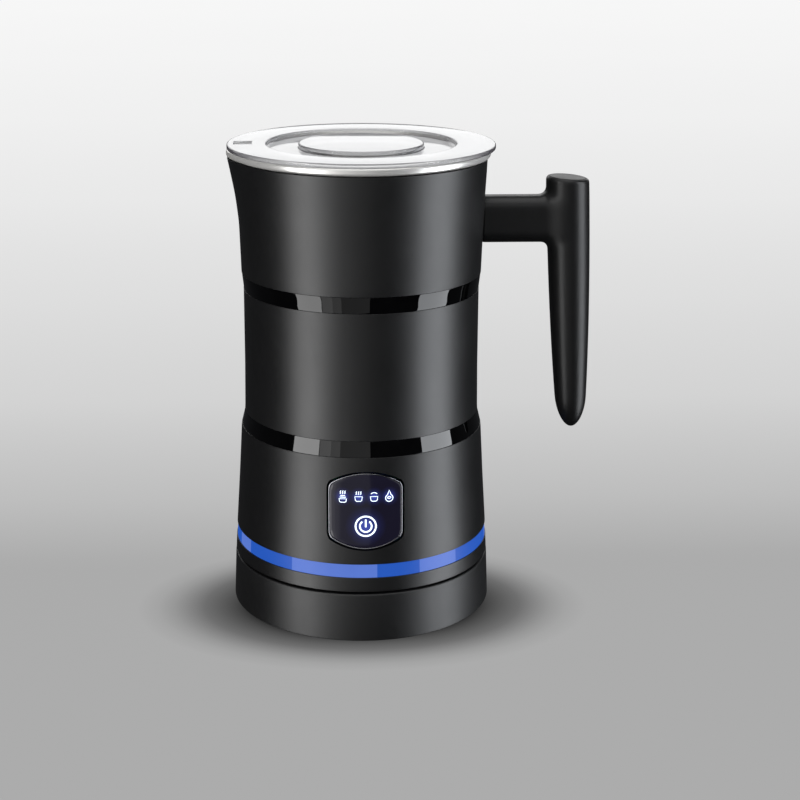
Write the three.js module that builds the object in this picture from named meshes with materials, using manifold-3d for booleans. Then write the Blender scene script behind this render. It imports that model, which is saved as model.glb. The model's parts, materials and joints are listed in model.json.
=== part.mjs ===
// Electric milk frother: a heated jug with a T-shaped handle and a clear lid, standing on a
// round power base. Millimetres, +Z up. Everything is drawn around the jug's upright axis
// (x = y = 0) with the undersides of the feet at z = 0. The handle points to +X, the spout to
// -X and the touch panel faces -Y. At the end the group is slid along X, so that the origin
// lies in the middle of the footprint.

import * as THREE from 'three';
import { mergeVertices } from 'three/addons/utils/BufferGeometryUtils.js';
import Module from 'manifold-3d';

const wasm = await Module();
wasm.setup();

// ---------------------------------------------------------------- driving dimensions

const SHELL_SIDES = 36; // facets round a large shell
const PART_SIDES = 20; // facets round a medium part
const SMALL_SIDES = 10; // facets round a pin, screw or magnet
const GAP = 0.3; // between pieces that touch

// Outer contour of the jug without its spout: height and radius, from the seam to the rim.
const JUG_OUTLINE = [
  [22.6, 54.9], [35.3, 54.2], [57.5, 52.7], [79.6, 51.4], [86.1, 49.8], [106, 49.5],
  [138.9, 49.4], [145.7, 50.2], [163, 50.7], [172, 51.1], [179, 51.3], [186, 51.7], [193.5, 52],
];
const SKIRT_BOTTOM = 22.6;
const SKIRT_TOP = 28.5;
const LIGHT_RING_TOP = 34.3;
const HOUSING_TOP = 79.5;
const LOWER_BAND_TOP = 86;
const WAIST_TOP = 138.8;
const UPPER_BAND_TOP = 145.6;
const SHELL_TOP = 193.5;
const WALL = 2.1;
const UPPER_WALL = 1.6;
const BAND_INSET = 0.15; // how far the bands and the light ring lie under the contour

const SPOUT_START = 166; // height where the spout begins to flare out
const SPOUT_HALF_ANGLE = THREE.MathUtils.degToRad(30);
const SPOUT_REACH_SHELL = 3.2;
const SPOUT_REACH_POT = 2.2;

const POT = { radius: 44, wall: 1.2, floor: 91, straightTop: 180, rimTop: 197, rimRadius: 53.2 };

const LID = {
  bottom: 197.3, top: 199.2, radius: 55.2, dish: 38.9, dishFloor: 197, knob: 25.8, knobTop: 199.2,
  skirtOuter: 44.6, skirtBottom: 187.5, sheet: 1.7,
};
const LID_POCKET = { x: -48.6, length: 7.7, width: 9.3, depth: 1.1 };

const PANEL = { halfWidth: 15.4, middle: 57.2, halfHeight: 16.3, arcRise: 5, gap: 0.5, bezel: 0.9 };
const LENS_THICK = 1.6;

const GRIP = { bottom: 76.3, top: 182.1, footX: 90.2, topX: 85, half: 9.1, taper: 3.2, tip: 14 };
const GRIP_DEPTH_SHARE = 0.98; // front-to-back width over side width
const GRIP_WALL = 2.4;
const GRIP_TOP_TILT = THREE.MathUtils.degToRad(4);
const CAP_THICK = 2.1;
const ARM = { bottom: 157.8, top: 177.2, halfDepth: 6.4, fillet: 5, start: 46, end: 84, edge: 77 };

const BASE = { bottom: 1, top: 21.5, bottomRadius: 56, topRadius: 55, wall: 2.2, deck: 2.1 };
const BASE_FLOOR = { bottom: 2.2, top: 4.2, radius: 53.2 };
const FOOT = { radius: 5.5, height: 1.9, ring: 44 };
const BASE_SCREW_RING = 34;
const GLAND = { z: 9.5, radius: 4.4, bore: 2.4 };

const SOCKET = { radius: 10.5, top: 33, flange: 17, neck: 14, pinBore: 1.7 };
const CONNECTOR = { outer: 15, cavity: 11.5, bottom: 23.4, roof: 35, top: 37 };

const SCREW = { head: 2.9, headHeight: 1.5, shank: 1.4, bore: 1.75 };
const JUG_BOTTOM = { z: 25, thick: 1.8, radius: 52, restRing: 46.5, restZ: 21.8 };
const LEG = { ring: 32, radius: 3.3, count: 3, firstAngle: 30 };
const CHASSIS = { bottom: 77, top: 78.6, radius: 47 };
const MOTOR = { radius: 12.2, bottom: 49, top: 76.4, shaft: 1.15 };
const CARRIER = { radius: 14, bottom: 80, top: 86 };
const MAGNET = { radius: 3.9, height: 2.6, ring: 8 };
const HEATER = { inner: 18, outer: 40, bottom: 85.9, top: 89.4 };
const MAIN_BOARD = { radius: 40, bottom: 38, thick: 1.6 };

const WHISK = { disc: 14, bottom: 92.5, discTop: 97, stem: 4.4, top: 112, bore: 1.9 };
const COIL = { ring: 11, wire: 2.2 };

// ---------------------------------------------------------------- finishes

const finish = {
  satinBlack: { color: 0x1b1b1d, roughness: 0.38, metalness: 0.15 },
  glossBlack: { color: 0x0a0a0c, roughness: 0.06, metalness: 0 },
  matteBlack: { color: 0x1e1e1f, roughness: 0.55, metalness: 0 },
  clear: { color: 0xeef0f2, roughness: 0.05, metalness: 0 },
  steel: { color: 0xd4d6d8, roughness: 0.2, metalness: 1 },
  coating: { color: 0x3a3a3d, roughness: 0.45, metalness: 0.2 },
  blueLight: { color: 0x5576d8, roughness: 0.3, metalness: 0 },
  silicone: { color: 0xd9dadb, roughness: 0.6, metalness: 0 },
  rubber: { color: 0x141414, roughness: 0.85, metalness: 0 },
  brass: { color: 0xc7a250, roughness: 0.3, metalness: 1 },
  aluminium: { color: 0xb9bcc0, roughness: 0.4, metalness: 1 },
  board: { color: 0x1f5a35, roughness: 0.5, metalness: 0 },
  whitePlastic: { color: 0xe4e2dc, roughness: 0.5, metalness: 0 },
};

// ---------------------------------------------------------------- shape helpers

// Signed volume of an indexed geometry: negative when its faces point inwards.
function signedVolume(position, index) {
  const [a, b, c] = [new THREE.Vector3(), new THREE.Vector3(), new THREE.Vector3()];
  let volume = 0;
  for (let i = 0; i < index.length; i += 3) {
    a.fromBufferAttribute(position, index[i]);
    b.fromBufferAttribute(position, index[i + 1]);
    c.fromBufferAttribute(position, index[i + 2]);
    volume += a.dot(b.cross(c)) / 6;
  }
  return volume;
}

// The same shape with shared corners merged, empty triangles dropped and faces pointing out.
function closed(geometry) {
  geometry.deleteAttribute('normal');
  geometry.deleteAttribute('uv');
  const merged = mergeVertices(geometry, 1e-4);
  const corners = merged.index.array;
  const index = [];
  for (let i = 0; i < corners.length; i += 3) {
    const [a, b, c] = corners.slice(i, i + 3);
    if (a !== b && b !== c && c !== a) {
      index.push(a, b, c);
    }
  }
  if (signedVolume(merged.attributes.position, index) < 0) {
    index.reverse();
  }
  merged.setIndex(index);
  return merged;
}

function toSolid(geometry) {
  const tidy = closed(geometry);
  return new wasm.Manifold(new wasm.Mesh({
    numProp: 3,
    vertProperties: Float32Array.from(tidy.attributes.position.array),
    triVerts: Uint32Array.from(tidy.index.array),
  }));
}

function fromSolid(solid) {
  const mesh = solid.getMesh();
  const geometry = new THREE.BufferGeometry();
  geometry.setAttribute('position', new THREE.Float32BufferAttribute(mesh.vertProperties, 3));
  geometry.setIndex([...mesh.triVerts]);
  return geometry;
}

function cut(body, ...tools) {
  return fromSolid(tools.reduce((left, tool) => left.subtract(toSolid(tool)), toSolid(body)));
}

function join(first, ...others) {
  return fromSolid(others.reduce((whole, other) => whole.add(toSolid(other)), toSolid(first)));
}

function common(first, second) {
  return fromSolid(toSolid(first).intersect(toSolid(second)));
}

// A [radius, z] profile turned round Z. It starts and ends on the axis.
function turned(profile, sides = PART_SIDES) {
  const points = profile.map(([r, z]) => new THREE.Vector2(r, z));
  return new THREE.LatheGeometry(points, sides).rotateX(Math.PI / 2);
}

// A closed [radius, z] outline turned round Z, clear of the axis.
function ring(outline, sides = SHELL_SIDES) {
  return turned([...outline, outline[0]], sides);
}

function band(inner, outer, bottom, top, sides = SHELL_SIDES) {
  return ring([[outer, bottom], [outer, top], [inner, top], [inner, bottom]], sides);
}

function rod(radius, bottom, top, sides = SMALL_SIDES) {
  return turned([[0, bottom], [radius, bottom], [radius, top], [0, top]], sides);
}

function box(width, depth, height, x, y, z) {
  return new THREE.BoxGeometry(width, depth, height).translate(x, y, z);
}

// Points of a regular pattern round the axis, as [x, y] pairs.
function around(count, radius, firstDegrees = 0) {
  return Array.from({ length: count }, (_, i) => {
    const angle = THREE.MathUtils.degToRad(firstDegrees + (360 / count) * i);
    return [radius * Math.cos(angle), radius * Math.sin(angle)];
  });
}

// A closed skin through rings of Vector3 that all have the same number of corners.
function lofted(rings) {
  const corners = rings[0].length;
  const middles = [rings[0], rings.at(-1)].map((row) =>
    row.reduce((sum, p) => sum.add(p), new THREE.Vector3()).divideScalar(corners));
  const points = [...rings.flat(), ...middles];
  const [first, last] = [points.length - 2, points.length - 1];
  const index = [];
  for (let c = 0; c < corners; c += 1) {
    const next = (c + 1) % corners;
    for (let r = 0; r < rings.length - 1; r += 1) {
      const [low, high] = [r * corners, (r + 1) * corners];
      index.push(low + c, low + next, high + next, low + c, high + next, high + c);
    }
    const top = (rings.length - 1) * corners;
    index.push(first, next, c, last, top + c, top + next);
  }
  const geometry = new THREE.BufferGeometry().setFromPoints(points);
  geometry.setIndex(index);
  return geometry;
}

// Corners of a superellipse: power 2 is an ellipse, a larger power is squarer.
function oval(halfA, halfB, power, place, sides = PART_SIDES) {
  return Array.from({ length: sides }, (_, i) => {
    const angle = (2 * Math.PI * i) / sides;
    const [cos, sin] = [Math.cos(angle), Math.sin(angle)];
    const a = Math.sign(cos) * halfA * Math.abs(cos) ** (2 / power);
    const b = Math.sign(sin) * halfB * Math.abs(sin) ** (2 / power);
    return place(a, b);
  });
}

function jugRadius(z) {
  const top = JUG_OUTLINE.findIndex(([level]) => level >= z);
  const [[z0, r0], [z1, r1]] = [JUG_OUTLINE[Math.max(top - 1, 0)], JUG_OUTLINE[Math.max(top, 1)]];
  return THREE.MathUtils.mapLinear(z, z0, z1, r0, r1);
}

// A wall of even thickness whose outer side lies `inset` under the jug's contour.
function jugWall(bottom, top, thickness, inset = 0) {
  const between = JUG_OUTLINE.map(([z]) => z).filter((z) => z > bottom && z < top);
  const levels = [bottom, ...between, top];
  const outer = levels.map((z) => [jugRadius(z) - inset, z]);
  const inner = levels.toReversed().map((z) => [jugRadius(z) - inset - thickness, z]);
  return ring([...outer, ...inner]);
}

// Push a shell outwards at -X, more towards the rim, to form the pouring spout.
function withSpout(geometry, reach) {
  const position = geometry.attributes.position;
  for (let i = 0; i < position.count; i += 1) {
    const [x, y, z] = [position.getX(i), position.getY(i), position.getZ(i)];
    const angle = Math.abs(Math.atan2(y, -x));
    if (z > SPOUT_START && angle < SPOUT_HALF_ANGLE) {
      const rise = ((z - SPOUT_START) / (SHELL_TOP - SPOUT_START)) ** 1.5;
      const swell = Math.cos((angle / SPOUT_HALF_ANGLE) * (Math.PI / 2)) ** 2;
      const grow = 1 + (reach * Math.min(rise, 1) * swell) / Math.hypot(x, y);
      position.setXY(i, x * grow, y * grow);
    }
  }
  return geometry;
}

function screw() {
  const under = SCREW.headHeight;
  return turned([
    [0, 0], [SCREW.head, 0.4], [SCREW.head, under], [SCREW.shank, under],
    [SCREW.shank, 12], [0, 13],
  ], SMALL_SIDES);
}

// ---------------------------------------------------------------- the assembly

const frother = new THREE.Group();

function add(name, geometry, look) {
  const mesh = new THREE.Mesh(closed(geometry), new THREE.MeshStandardMaterial(finish[look]));
  mesh.name = name;
  frother.add(mesh);
  return mesh;
}

function addLid() {
  const { top, bottom, radius, dish, dishFloor, knob, knobTop, sheet } = LID;
  const lipInner = radius - sheet;
  const underDish = dishFloor - sheet;
  const skirtInner = LID.skirtOuter - sheet;
  const disc = turned([
    [0, knobTop], [knob - 1, knobTop], [knob, knobTop - 0.7], [knob, dishFloor],
    [dish - 1, dishFloor], [dish, top - 0.6], [dish + 0.8, top],
    [radius - 0.9, top], [radius, top - 0.9], [radius, bottom + 0.5], [radius - 0.5, bottom],
    [lipInner, bottom], [lipInner, top - sheet], [LID.skirtOuter + sheet, top - sheet],
    [LID.skirtOuter, bottom], [LID.skirtOuter, underDish], [knob - sheet, underDish],
    [knob - sheet, knobTop - sheet], [0, knobTop - sheet],
  ], SHELL_SIDES);
  const { x, length, width, depth } = LID_POCKET;
  add('lid_disc', cut(disc, box(length, width, 2 * depth, x, 0, top)), 'clear');
  const collarTop = underDish - GAP;
  add('lid_collar', ring([
    [skirtInner, LID.skirtBottom], [LID.skirtOuter, LID.skirtBottom],
    [LID.skirtOuter, collarTop], [skirtInner, collarTop],
  ]), 'clear');
  const seat = LID.skirtOuter + GAP;
  add('lid_seal', ring([
    [seat, 188.6], [seat + 1.3, 188.6], [seat + 2.1, 191], [seat, 191.4],
  ]), 'silicone');
}

function addPot() {
  const { radius, wall, floor, straightTop, rimTop, rimRadius } = POT;
  const corner = 6; // radius of the bend from floor to wall
  const outer = radius + wall;
  const pot = turned([
    [0, floor - wall], [radius - corner, floor - wall], [outer - 1.8, floor - wall + 2],
    [outer, floor + corner], [outer, straightTop], [outer + 1, 184], [outer + 2.2, 188],
    [49.3, 193.1], [50.2, SHELL_TOP + GAP], [rimRadius, SHELL_TOP + GAP],
    [rimRadius + 0.4, 195.4], [rimRadius, rimTop], [rimRadius - 1.5, rimTop],
    [48.6, 193.1], [radius + 2.2, 188], [radius + 1, 184], [radius, straightTop],
    [radius, floor + corner], [radius - 1.8, floor + 2], [radius - corner, floor], [0, floor],
  ], SHELL_SIDES);
  add('inner_pot', withSpout(pot, SPOUT_REACH_POT), 'steel');
  add('whisk_post', rod(1.5, floor + GAP, floor + 10), 'steel');
}

// Bores for the two handle screws, which run along X through the shell and into the arm.
const handleScrewHeights = [162.5, 172.5];

function screwBores(x, length) {
  return handleScrewHeights.map((z) =>
    rod(SCREW.bore, 0, length).rotateY(Math.PI / 2).translate(x, 0, z));
}

function addShells() {
  const upper = withSpout(jugWall(UPPER_BAND_TOP + GAP, SHELL_TOP, UPPER_WALL), SPOUT_REACH_SHELL);
  add('upper_shell', cut(upper, ...screwBores(40, 20)), 'satinBlack');
  add('upper_band', jugWall(WAIST_TOP + GAP, UPPER_BAND_TOP, WALL, BAND_INSET), 'glossBlack');
  add('waist_sleeve', jugWall(LOWER_BAND_TOP + GAP, WAIST_TOP, WALL), 'satinBlack');
  add('lower_band', jugWall(HOUSING_TOP + GAP, LOWER_BAND_TOP, WALL, BAND_INSET), 'glossBlack');
  add('light_ring', jugWall(SKIRT_TOP + GAP, LIGHT_RING_TOP, 3, BAND_INSET), 'blueLight');
  add('jug_skirt', jugWall(SKIRT_BOTTOM, SKIRT_TOP, WALL), 'satinBlack');
}

// The touch panel's outline in its own plane: straight sides, arched top and bottom.
function panelPrism(inset) {
  const half = PANEL.halfWidth - inset;
  const high = PANEL.halfHeight - inset;
  const radius = (half ** 2 + PANEL.arcRise ** 2) / (2 * PANEL.arcRise);
  const swing = Math.asin(half / radius);
  const shape = new THREE.Shape();
  shape.absarc(0, high - radius, radius, Math.PI / 2 - swing, Math.PI / 2 + swing);
  shape.absarc(0, radius - high, radius, 1.5 * Math.PI - swing, 1.5 * Math.PI + swing);
  const depth = 30;
  const prism = new THREE.ExtrudeGeometry(shape, { depth, bevelEnabled: false, curveSegments: 8 });
  const back = depth - jugRadius(PANEL.middle) - 5; // the prism starts 5 in front of the wall
  return prism.rotateX(Math.PI / 2).translate(0, back, PANEL.middle);
}

function addPanel() {
  const housing = jugWall(LIGHT_RING_TOP + GAP, HOUSING_TOP, WALL);
  add('lower_housing', cut(housing, panelPrism(-PANEL.gap)), 'satinBlack');
  const [low, high] = [LIGHT_RING_TOP + 1, HOUSING_TOP - 1];
  const frame = cut(panelPrism(0), panelPrism(PANEL.bezel));
  add('panel_bezel', common(jugWall(low, high, WALL + 0.2, -0.2), frame), 'steel');
  const glass = panelPrism(PANEL.bezel + GAP);
  add('panel_lens', common(jugWall(low, high, LENS_THICK), glass), 'glossBlack');
  add('touch_board', box(26, 1.2, 26, 0, -46, PANEL.middle), 'board');
}

function gripHalf(z) {
  const rise = (z - GRIP.bottom) / (GRIP.top - GRIP.bottom);
  const body = GRIP.half - GRIP.taper * Math.max(1 - rise, 0) ** 2.4;
  const tip = Math.min((z - GRIP.bottom) / GRIP.tip, 1);
  return body * Math.sqrt(1 - (1 - tip) ** 2);
}

// One level ring of the grip; `tilt` slopes it down towards +X.
function gripRing(z, inset = 0, tilt = 0) {
  const centre = THREE.MathUtils.mapLinear(z, GRIP.bottom, GRIP.top, GRIP.footX, GRIP.topX);
  const half = gripHalf(z) - inset;
  const depth = gripHalf(z) * GRIP_DEPTH_SHARE - inset;
  return oval(half, depth, 2.2, (a, b) =>
    new THREE.Vector3(centre + a, b, z - a * Math.tan(tilt)));
}

function addHandle() {
  const levels = [76.6, 77.8, 80, 84, 90, 100, 115, 135, 155, 170];
  const grip = lofted([
    ...levels.map((z) => gripRing(z)),
    gripRing(GRIP.top, 0, GRIP_TOP_TILT),
  ]);
  const hollow = lofted([
    gripRing(96, GRIP_WALL),
    gripRing(135, GRIP_WALL),
    gripRing(GRIP.top + 4, GRIP_WALL, GRIP_TOP_TILT),
  ]);
  const middle = (ARM.bottom + ARM.top) / 2;
  const halfHeight = (ARM.top - ARM.bottom) / 2;
  const armRing = (x, grow) => oval(ARM.halfDepth + grow * 0.4, halfHeight + grow, 2.8, (a, b) =>
    new THREE.Vector3(x, a, middle + b));
  const filletSteps = [0, 0.4, 0.7, 0.9, 1];
  const arm = lofted([
    armRing(ARM.start, 0),
    ...filletSteps.map((share) => armRing(
      ARM.edge - ARM.fillet * (1 - share),
      ARM.fillet * (1 - Math.sqrt(1 - share ** 2)),
    )),
    armRing(ARM.end, ARM.fillet),
  ]);
  const body = rod(jugRadius(ARM.top) + GAP, 140, 200, SHELL_SIDES);
  const whole = join(grip, arm);
  add('handle', cut(whole, body, hollow, ...screwBores(48, 15)), 'matteBlack');

  const lowEdge = GRIP.top + GAP;
  const plug = lofted([
    gripRing(lowEdge - 3, GRIP_WALL + GAP, GRIP_TOP_TILT),
    gripRing(lowEdge + 1, GRIP_WALL + GAP, GRIP_TOP_TILT),
  ]);
  const plate = lofted([
    gripRing(lowEdge, 0, GRIP_TOP_TILT),
    gripRing(lowEdge + CAP_THICK - 0.8, 0, GRIP_TOP_TILT),
    gripRing(lowEdge + CAP_THICK, 0.9, GRIP_TOP_TILT),
  ]);
  add('handle_cap', join(plate, plug), 'matteBlack');

  const strap = box(1.2, 11, 20, 47.6, 0, middle);
  add('handle_bracket', cut(strap, ...screwBores(40, 20)), 'steel');
  handleScrewHeights.forEach((z, i) => {
    const piece = add(`handle_screw_${i + 1}`, screw(), 'steel');
    piece.rotation.y = Math.PI / 2;
    piece.position.set(45.4, 0, z);
  });
}

function addJugBottom() {
  const { z, thick, radius, restRing, restZ } = JUG_BOTTOM;
  const hole = CONNECTOR.outer + GAP;
  const plate = ring([
    [hole, z], [restRing - 2.5, z], [restRing - 2, restZ], [restRing + 2, restZ],
    [restRing + 2.5, z], [radius, z], [radius, z + thick], [hole, z + thick],
  ]);
  const legs = around(LEG.count, LEG.ring, LEG.firstAngle);
  const bores = legs.map(([x, y]) => rod(SCREW.bore, z - 5, z + 5).translate(x, y, 0));
  add('jug_bottom', cut(plate, ...bores), 'matteBlack');
  legs.forEach(([x, y], i) => {
    add(`jug_screw_${i + 1}`, screw(), 'steel').position.set(x, y, z - SCREW.headHeight - GAP);
  });

  const { outer, cavity, bottom, roof, top } = CONNECTOR;
  const pin = 1.1;
  add('jug_connector', turned([
    [pin + GAP, top], [outer, top], [outer, bottom], [cavity, bottom], [cavity, roof],
    [pin + GAP, roof], [pin + GAP, top],
  ]), 'matteBlack');
  add('contact_pin', rod(pin, roof - 7, top + 0.6), 'brass');
  add('light_board', band(40.5, 49, 30, 31.2, PART_SIDES), 'board');
}

function addInsides() {
  const legs = around(LEG.count, LEG.ring, LEG.firstAngle);
  const { bottom, top, radius } = CHASSIS;
  const footZ = JUG_BOTTOM.z + JUG_BOTTOM.thick + GAP;
  const plate = band(4, radius, bottom, top, PART_SIDES);
  const tubes = legs.map(([x, y]) => rod(LEG.radius, footZ, top - 0.5).translate(x, y, 0));
  const bores = legs.map(([x, y]) => rod(SCREW.bore, footZ - 5, footZ + 14).translate(x, y, 0));
  add('chassis', cut(join(plate, ...tubes), ...bores), 'whitePlastic');

  const boardTop = MAIN_BOARD.bottom + MAIN_BOARD.thick;
  const board = rod(MAIN_BOARD.radius, MAIN_BOARD.bottom, boardTop, PART_SIDES);
  const holes = legs.map(([x, y]) => rod(LEG.radius + 0.4, 30, 50).translate(x, y, 0));
  add('main_board', cut(board, ...holes), 'board');
  const onBoard = boardTop + GAP;
  add('relay', box(15, 19, 15, -24, -8, onBoard + 7.5), 'whitePlastic');
  add('capacitor', rod(5, onBoard, onBoard + 13).translate(24, -10, 0), 'aluminium');

  const { inner, outer } = HEATER;
  add('heater_plate', band(inner, outer, HEATER.bottom, HEATER.top, PART_SIDES), 'aluminium');
  const underHeater = HEATER.bottom - GAP;
  add('thermostat', rod(6, underHeater - 4, underHeater, PART_SIDES).translate(28, 0, 0),
    'aluminium');
  add('temperature_sensor', rod(2, underHeater - 6, underHeater).translate(-24, 10, 0), 'brass');

  const bore = MOTOR.shaft + GAP;
  add('motor', turned([
    [0, MOTOR.bottom], [MOTOR.radius, MOTOR.bottom], [MOTOR.radius, MOTOR.top - 1.5],
    [3.4, MOTOR.top - 1.5], [3.4, MOTOR.top + 1.8], [bore, MOTOR.top + 1.8],
    [bore, MOTOR.top - 6], [0, MOTOR.top - 6],
  ]), 'steel');
}

function addRotor() {
  add('motor_shaft', rod(MOTOR.shaft, MOTOR.top - 5.5, CARRIER.top - 1), 'steel');
  const { radius, bottom, top } = CARRIER;
  const bore = MOTOR.shaft + GAP;
  add('magnet_carrier', ring([
    [bore, bottom - 0.9], [4, bottom - 0.9], [4, bottom], [radius, bottom], [radius, top - 2.6],
    [3.5, top - 2.6], [3.5, top], [bore, top],
  ], PART_SIDES), 'whitePlastic');
  around(2, MAGNET.ring).forEach(([x, y], i) => {
    const seat = top - 2.6 + GAP;
    const magnet = rod(MAGNET.radius, seat, seat + MAGNET.height).translate(x, y, 0);
    add(`drive_magnet_${i + 1}`, magnet, 'aluminium');
  });
}

function addWhisk() {
  const { disc, bottom, discTop, stem, top, bore } = WHISK;
  const boreTop = POT.floor + 11;
  const hub = turned([
    [0, boreTop], [bore, boreTop], [bore, bottom], [disc - 0.6, bottom], [disc, bottom + 0.6],
    [disc, discTop - 0.6], [disc - 0.6, discTop], [stem + 1.4, discTop], [stem, discTop + 1.6],
    [stem, top], [0, top],
  ]);
  const magnets = around(2, MAGNET.ring);
  const pockets = magnets.map(([x, y]) =>
    rod(3.5 + GAP, bottom - 1, bottom + 2.7).translate(x, y, 0));
  add('whisk_hub', cut(hub, ...pockets), 'matteBlack');
  magnets.forEach(([x, y], i) => {
    const magnet = rod(3.5, bottom + 0.4, bottom + 2.4).translate(x, y, 0);
    add(`whisk_magnet_${i + 1}`, magnet, 'aluminium');
  });
  const knobTop = top + 5.3;
  add('whisk_knob', turned([
    [0, top + GAP], [stem, top + GAP], [6, top + 1.8], [6, knobTop - 1.2], [4.6, knobTop],
    [0, knobTop],
  ]), 'matteBlack');
  const inner = disc + GAP;
  const fins = around(4, inner + 3.2, 45).map(([x, y]) => {
    const fin = box(5.6, 1.6, 4, 0, 0, 0).rotateZ(Math.atan2(y, x));
    return fin.translate(x, y, (bottom + discTop) / 2);
  });
  add('stirring_ring', join(band(inner, inner + 1.3, bottom + 0.3, discTop - 0.3, PART_SIDES),
    ...fins), 'steel');
  const coil = new THREE.TorusGeometry(COIL.ring, COIL.wire, 8, PART_SIDES);
  add('froth_coil', coil.translate(0, 0, discTop + GAP + COIL.wire), 'steel');
}

function addBase() {
  const { bottom, top, bottomRadius, topRadius, wall, deck } = BASE;
  const hole = SOCKET.neck + GAP;
  const underDeck = top - deck;
  const shell = ring([
    [bottomRadius, bottom], [topRadius + 0.1, top - 0.8], [topRadius - 0.8, top], [hole, top],
    [hole, underDeck], [topRadius - wall, underDeck], [bottomRadius - wall, bottom],
  ]);
  const screws = around(3, BASE_SCREW_RING, 90);
  const bosses = screws.map(([x, y]) =>
    rod(3.5, BASE_FLOOR.top + GAP, underDeck + 0.5).translate(x, y, 0));
  const bores = screws.map(([x, y]) => rod(SCREW.bore, -5, underDeck - 1).translate(x, y, 0));
  const glandHole = rod(GLAND.radius + GAP, 0, 20, PART_SIDES).rotateX(-Math.PI / 2);
  add('base_shell', cut(join(shell, ...bosses), ...bores, glandHole.translate(0, 45, GLAND.z)),
    'satinBlack');
  const floor = rod(BASE_FLOOR.radius, BASE_FLOOR.bottom, BASE_FLOOR.top, SHELL_SIDES);
  add('base_floor', cut(floor, ...bores), 'matteBlack');
  screws.forEach(([x, y], i) => {
    const piece = add(`base_screw_${i + 1}`, screw(), 'steel');
    piece.position.set(x, y, BASE_FLOOR.bottom - SCREW.headHeight - GAP);
  });
  around(4, FOOT.ring, 45).forEach(([x, y], i) => {
    const foot = rod(FOOT.radius, 0, FOOT.height, PART_SIDES);
    add(`base_foot_${i + 1}`, foot.translate(x, y, 0), 'rubber');
  });
  const wallFace = THREE.MathUtils.mapLinear(GLAND.z, bottom, top, bottomRadius, topRadius);
  const gland = band(GLAND.bore, GLAND.radius, wallFace - 7, wallFace - 0.2, PART_SIDES);
  add('cord_gland', gland.rotateX(-Math.PI / 2).translate(0, 0, GLAND.z), 'rubber');
}

function addBaseSocket() {
  const { radius, top, flange, neck, pinBore } = SOCKET;
  const underDeck = BASE.top - BASE.deck;
  const [ringInner, ringOuter, groove] = [5, 7, 2.4];
  add('base_socket', turned([
    [0, underDeck - 5], [flange, underDeck - 5], [flange, underDeck - GAP],
    [neck, underDeck - GAP], [neck, BASE.top + 0.4], [radius, BASE.top + 0.4],
    [radius, top - 0.8], [radius - 0.8, top], [ringOuter + GAP, top],
    [ringOuter + GAP, top - groove], [ringInner - GAP, top - groove], [ringInner - GAP, top],
    [pinBore, top], [pinBore, top - 7], [0, top - 7],
  ]), 'matteBlack');
  add('base_contact', band(ringInner, ringOuter, top - groove + GAP, top - 0.4, PART_SIDES),
    'brass');
}

addBase();
addBaseSocket();
addJugBottom();
addInsides();
addShells();
addPanel();
addPot();
addHandle();
addRotor();
addWhisk();
addLid();

// Slide everything along X so that the origin is the middle of the footprint.
const bounds = new THREE.Box3().setFromObject(frother);
frother.position.x = -(bounds.min.x + bounds.max.x) / 2;

export default frother;
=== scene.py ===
"""Electric milk frother: a heated jug with a clear lid on a round power base.

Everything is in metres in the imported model's frame: +Z up, the handle towards +X, the pouring
spout towards -X and the touch panel facing -Y. Lengths inside the frother's classes are
millimetres; the studio's are metres.
"""
import json
import logging
import math
from collections.abc import Callable, Iterable, Sequence
from dataclasses import dataclass, field
from enum import Enum

import bpy
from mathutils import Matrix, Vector


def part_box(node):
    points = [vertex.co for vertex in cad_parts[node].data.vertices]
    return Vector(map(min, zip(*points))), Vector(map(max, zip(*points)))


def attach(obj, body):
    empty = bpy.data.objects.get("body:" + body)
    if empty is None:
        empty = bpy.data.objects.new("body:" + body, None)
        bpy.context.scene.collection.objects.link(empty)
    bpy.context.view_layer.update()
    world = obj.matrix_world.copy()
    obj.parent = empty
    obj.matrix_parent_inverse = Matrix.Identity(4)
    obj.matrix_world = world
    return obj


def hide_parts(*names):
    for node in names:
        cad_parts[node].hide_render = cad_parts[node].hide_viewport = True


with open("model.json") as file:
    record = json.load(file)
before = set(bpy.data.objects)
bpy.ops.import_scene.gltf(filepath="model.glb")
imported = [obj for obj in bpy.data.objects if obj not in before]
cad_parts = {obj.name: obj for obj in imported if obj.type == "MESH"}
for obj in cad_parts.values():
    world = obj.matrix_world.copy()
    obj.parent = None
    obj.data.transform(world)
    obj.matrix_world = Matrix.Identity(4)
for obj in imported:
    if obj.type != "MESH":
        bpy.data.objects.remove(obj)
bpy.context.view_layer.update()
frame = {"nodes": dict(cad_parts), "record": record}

MM = 0.001
WELD = 2e-6  # corners closer than this are one corner
FINE = 192  # steps round a large visible shell
MEDIUM = 96  # steps round a part inside or underneath
SMALL = 32  # steps round a screw or pin

log = logging.getLogger("milk_frother")


def box_middle(node: str) -> Vector:
    """Return the middle of a CAD node's box."""
    low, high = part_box(node)
    return (low + high) / 2


AXIS_X = box_middle("base_shell").x  # the jug's upright axis


def low_z(node: str) -> float:
    """Return the height of a node's lowest corner, in millimetres."""
    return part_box(node)[0].z / MM


def high_z(node: str) -> float:
    """Return the height of a node's highest corner, in millimetres."""
    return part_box(node)[1].z / MM


def half_depth(node: str) -> float:
    """Return half of a node's depth in millimetres, which is a round shell's radius."""
    low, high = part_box(node)
    return (high.y - low.y) / 2 / MM


def at(x: float, y: float, z: float) -> Vector:
    """Return a point given in millimetres from the jug's axis, in the frame's metres."""
    return Vector((AXIS_X + x * MM, y * MM, z * MM))


# --------------------------------------------------------------------------- bench tools


def deselect() -> None:
    """Leave edit mode and deselect everything."""
    if bpy.context.mode != "OBJECT":
        bpy.ops.object.mode_set(mode="OBJECT")
    bpy.ops.object.select_all(action="DESELECT")


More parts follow.
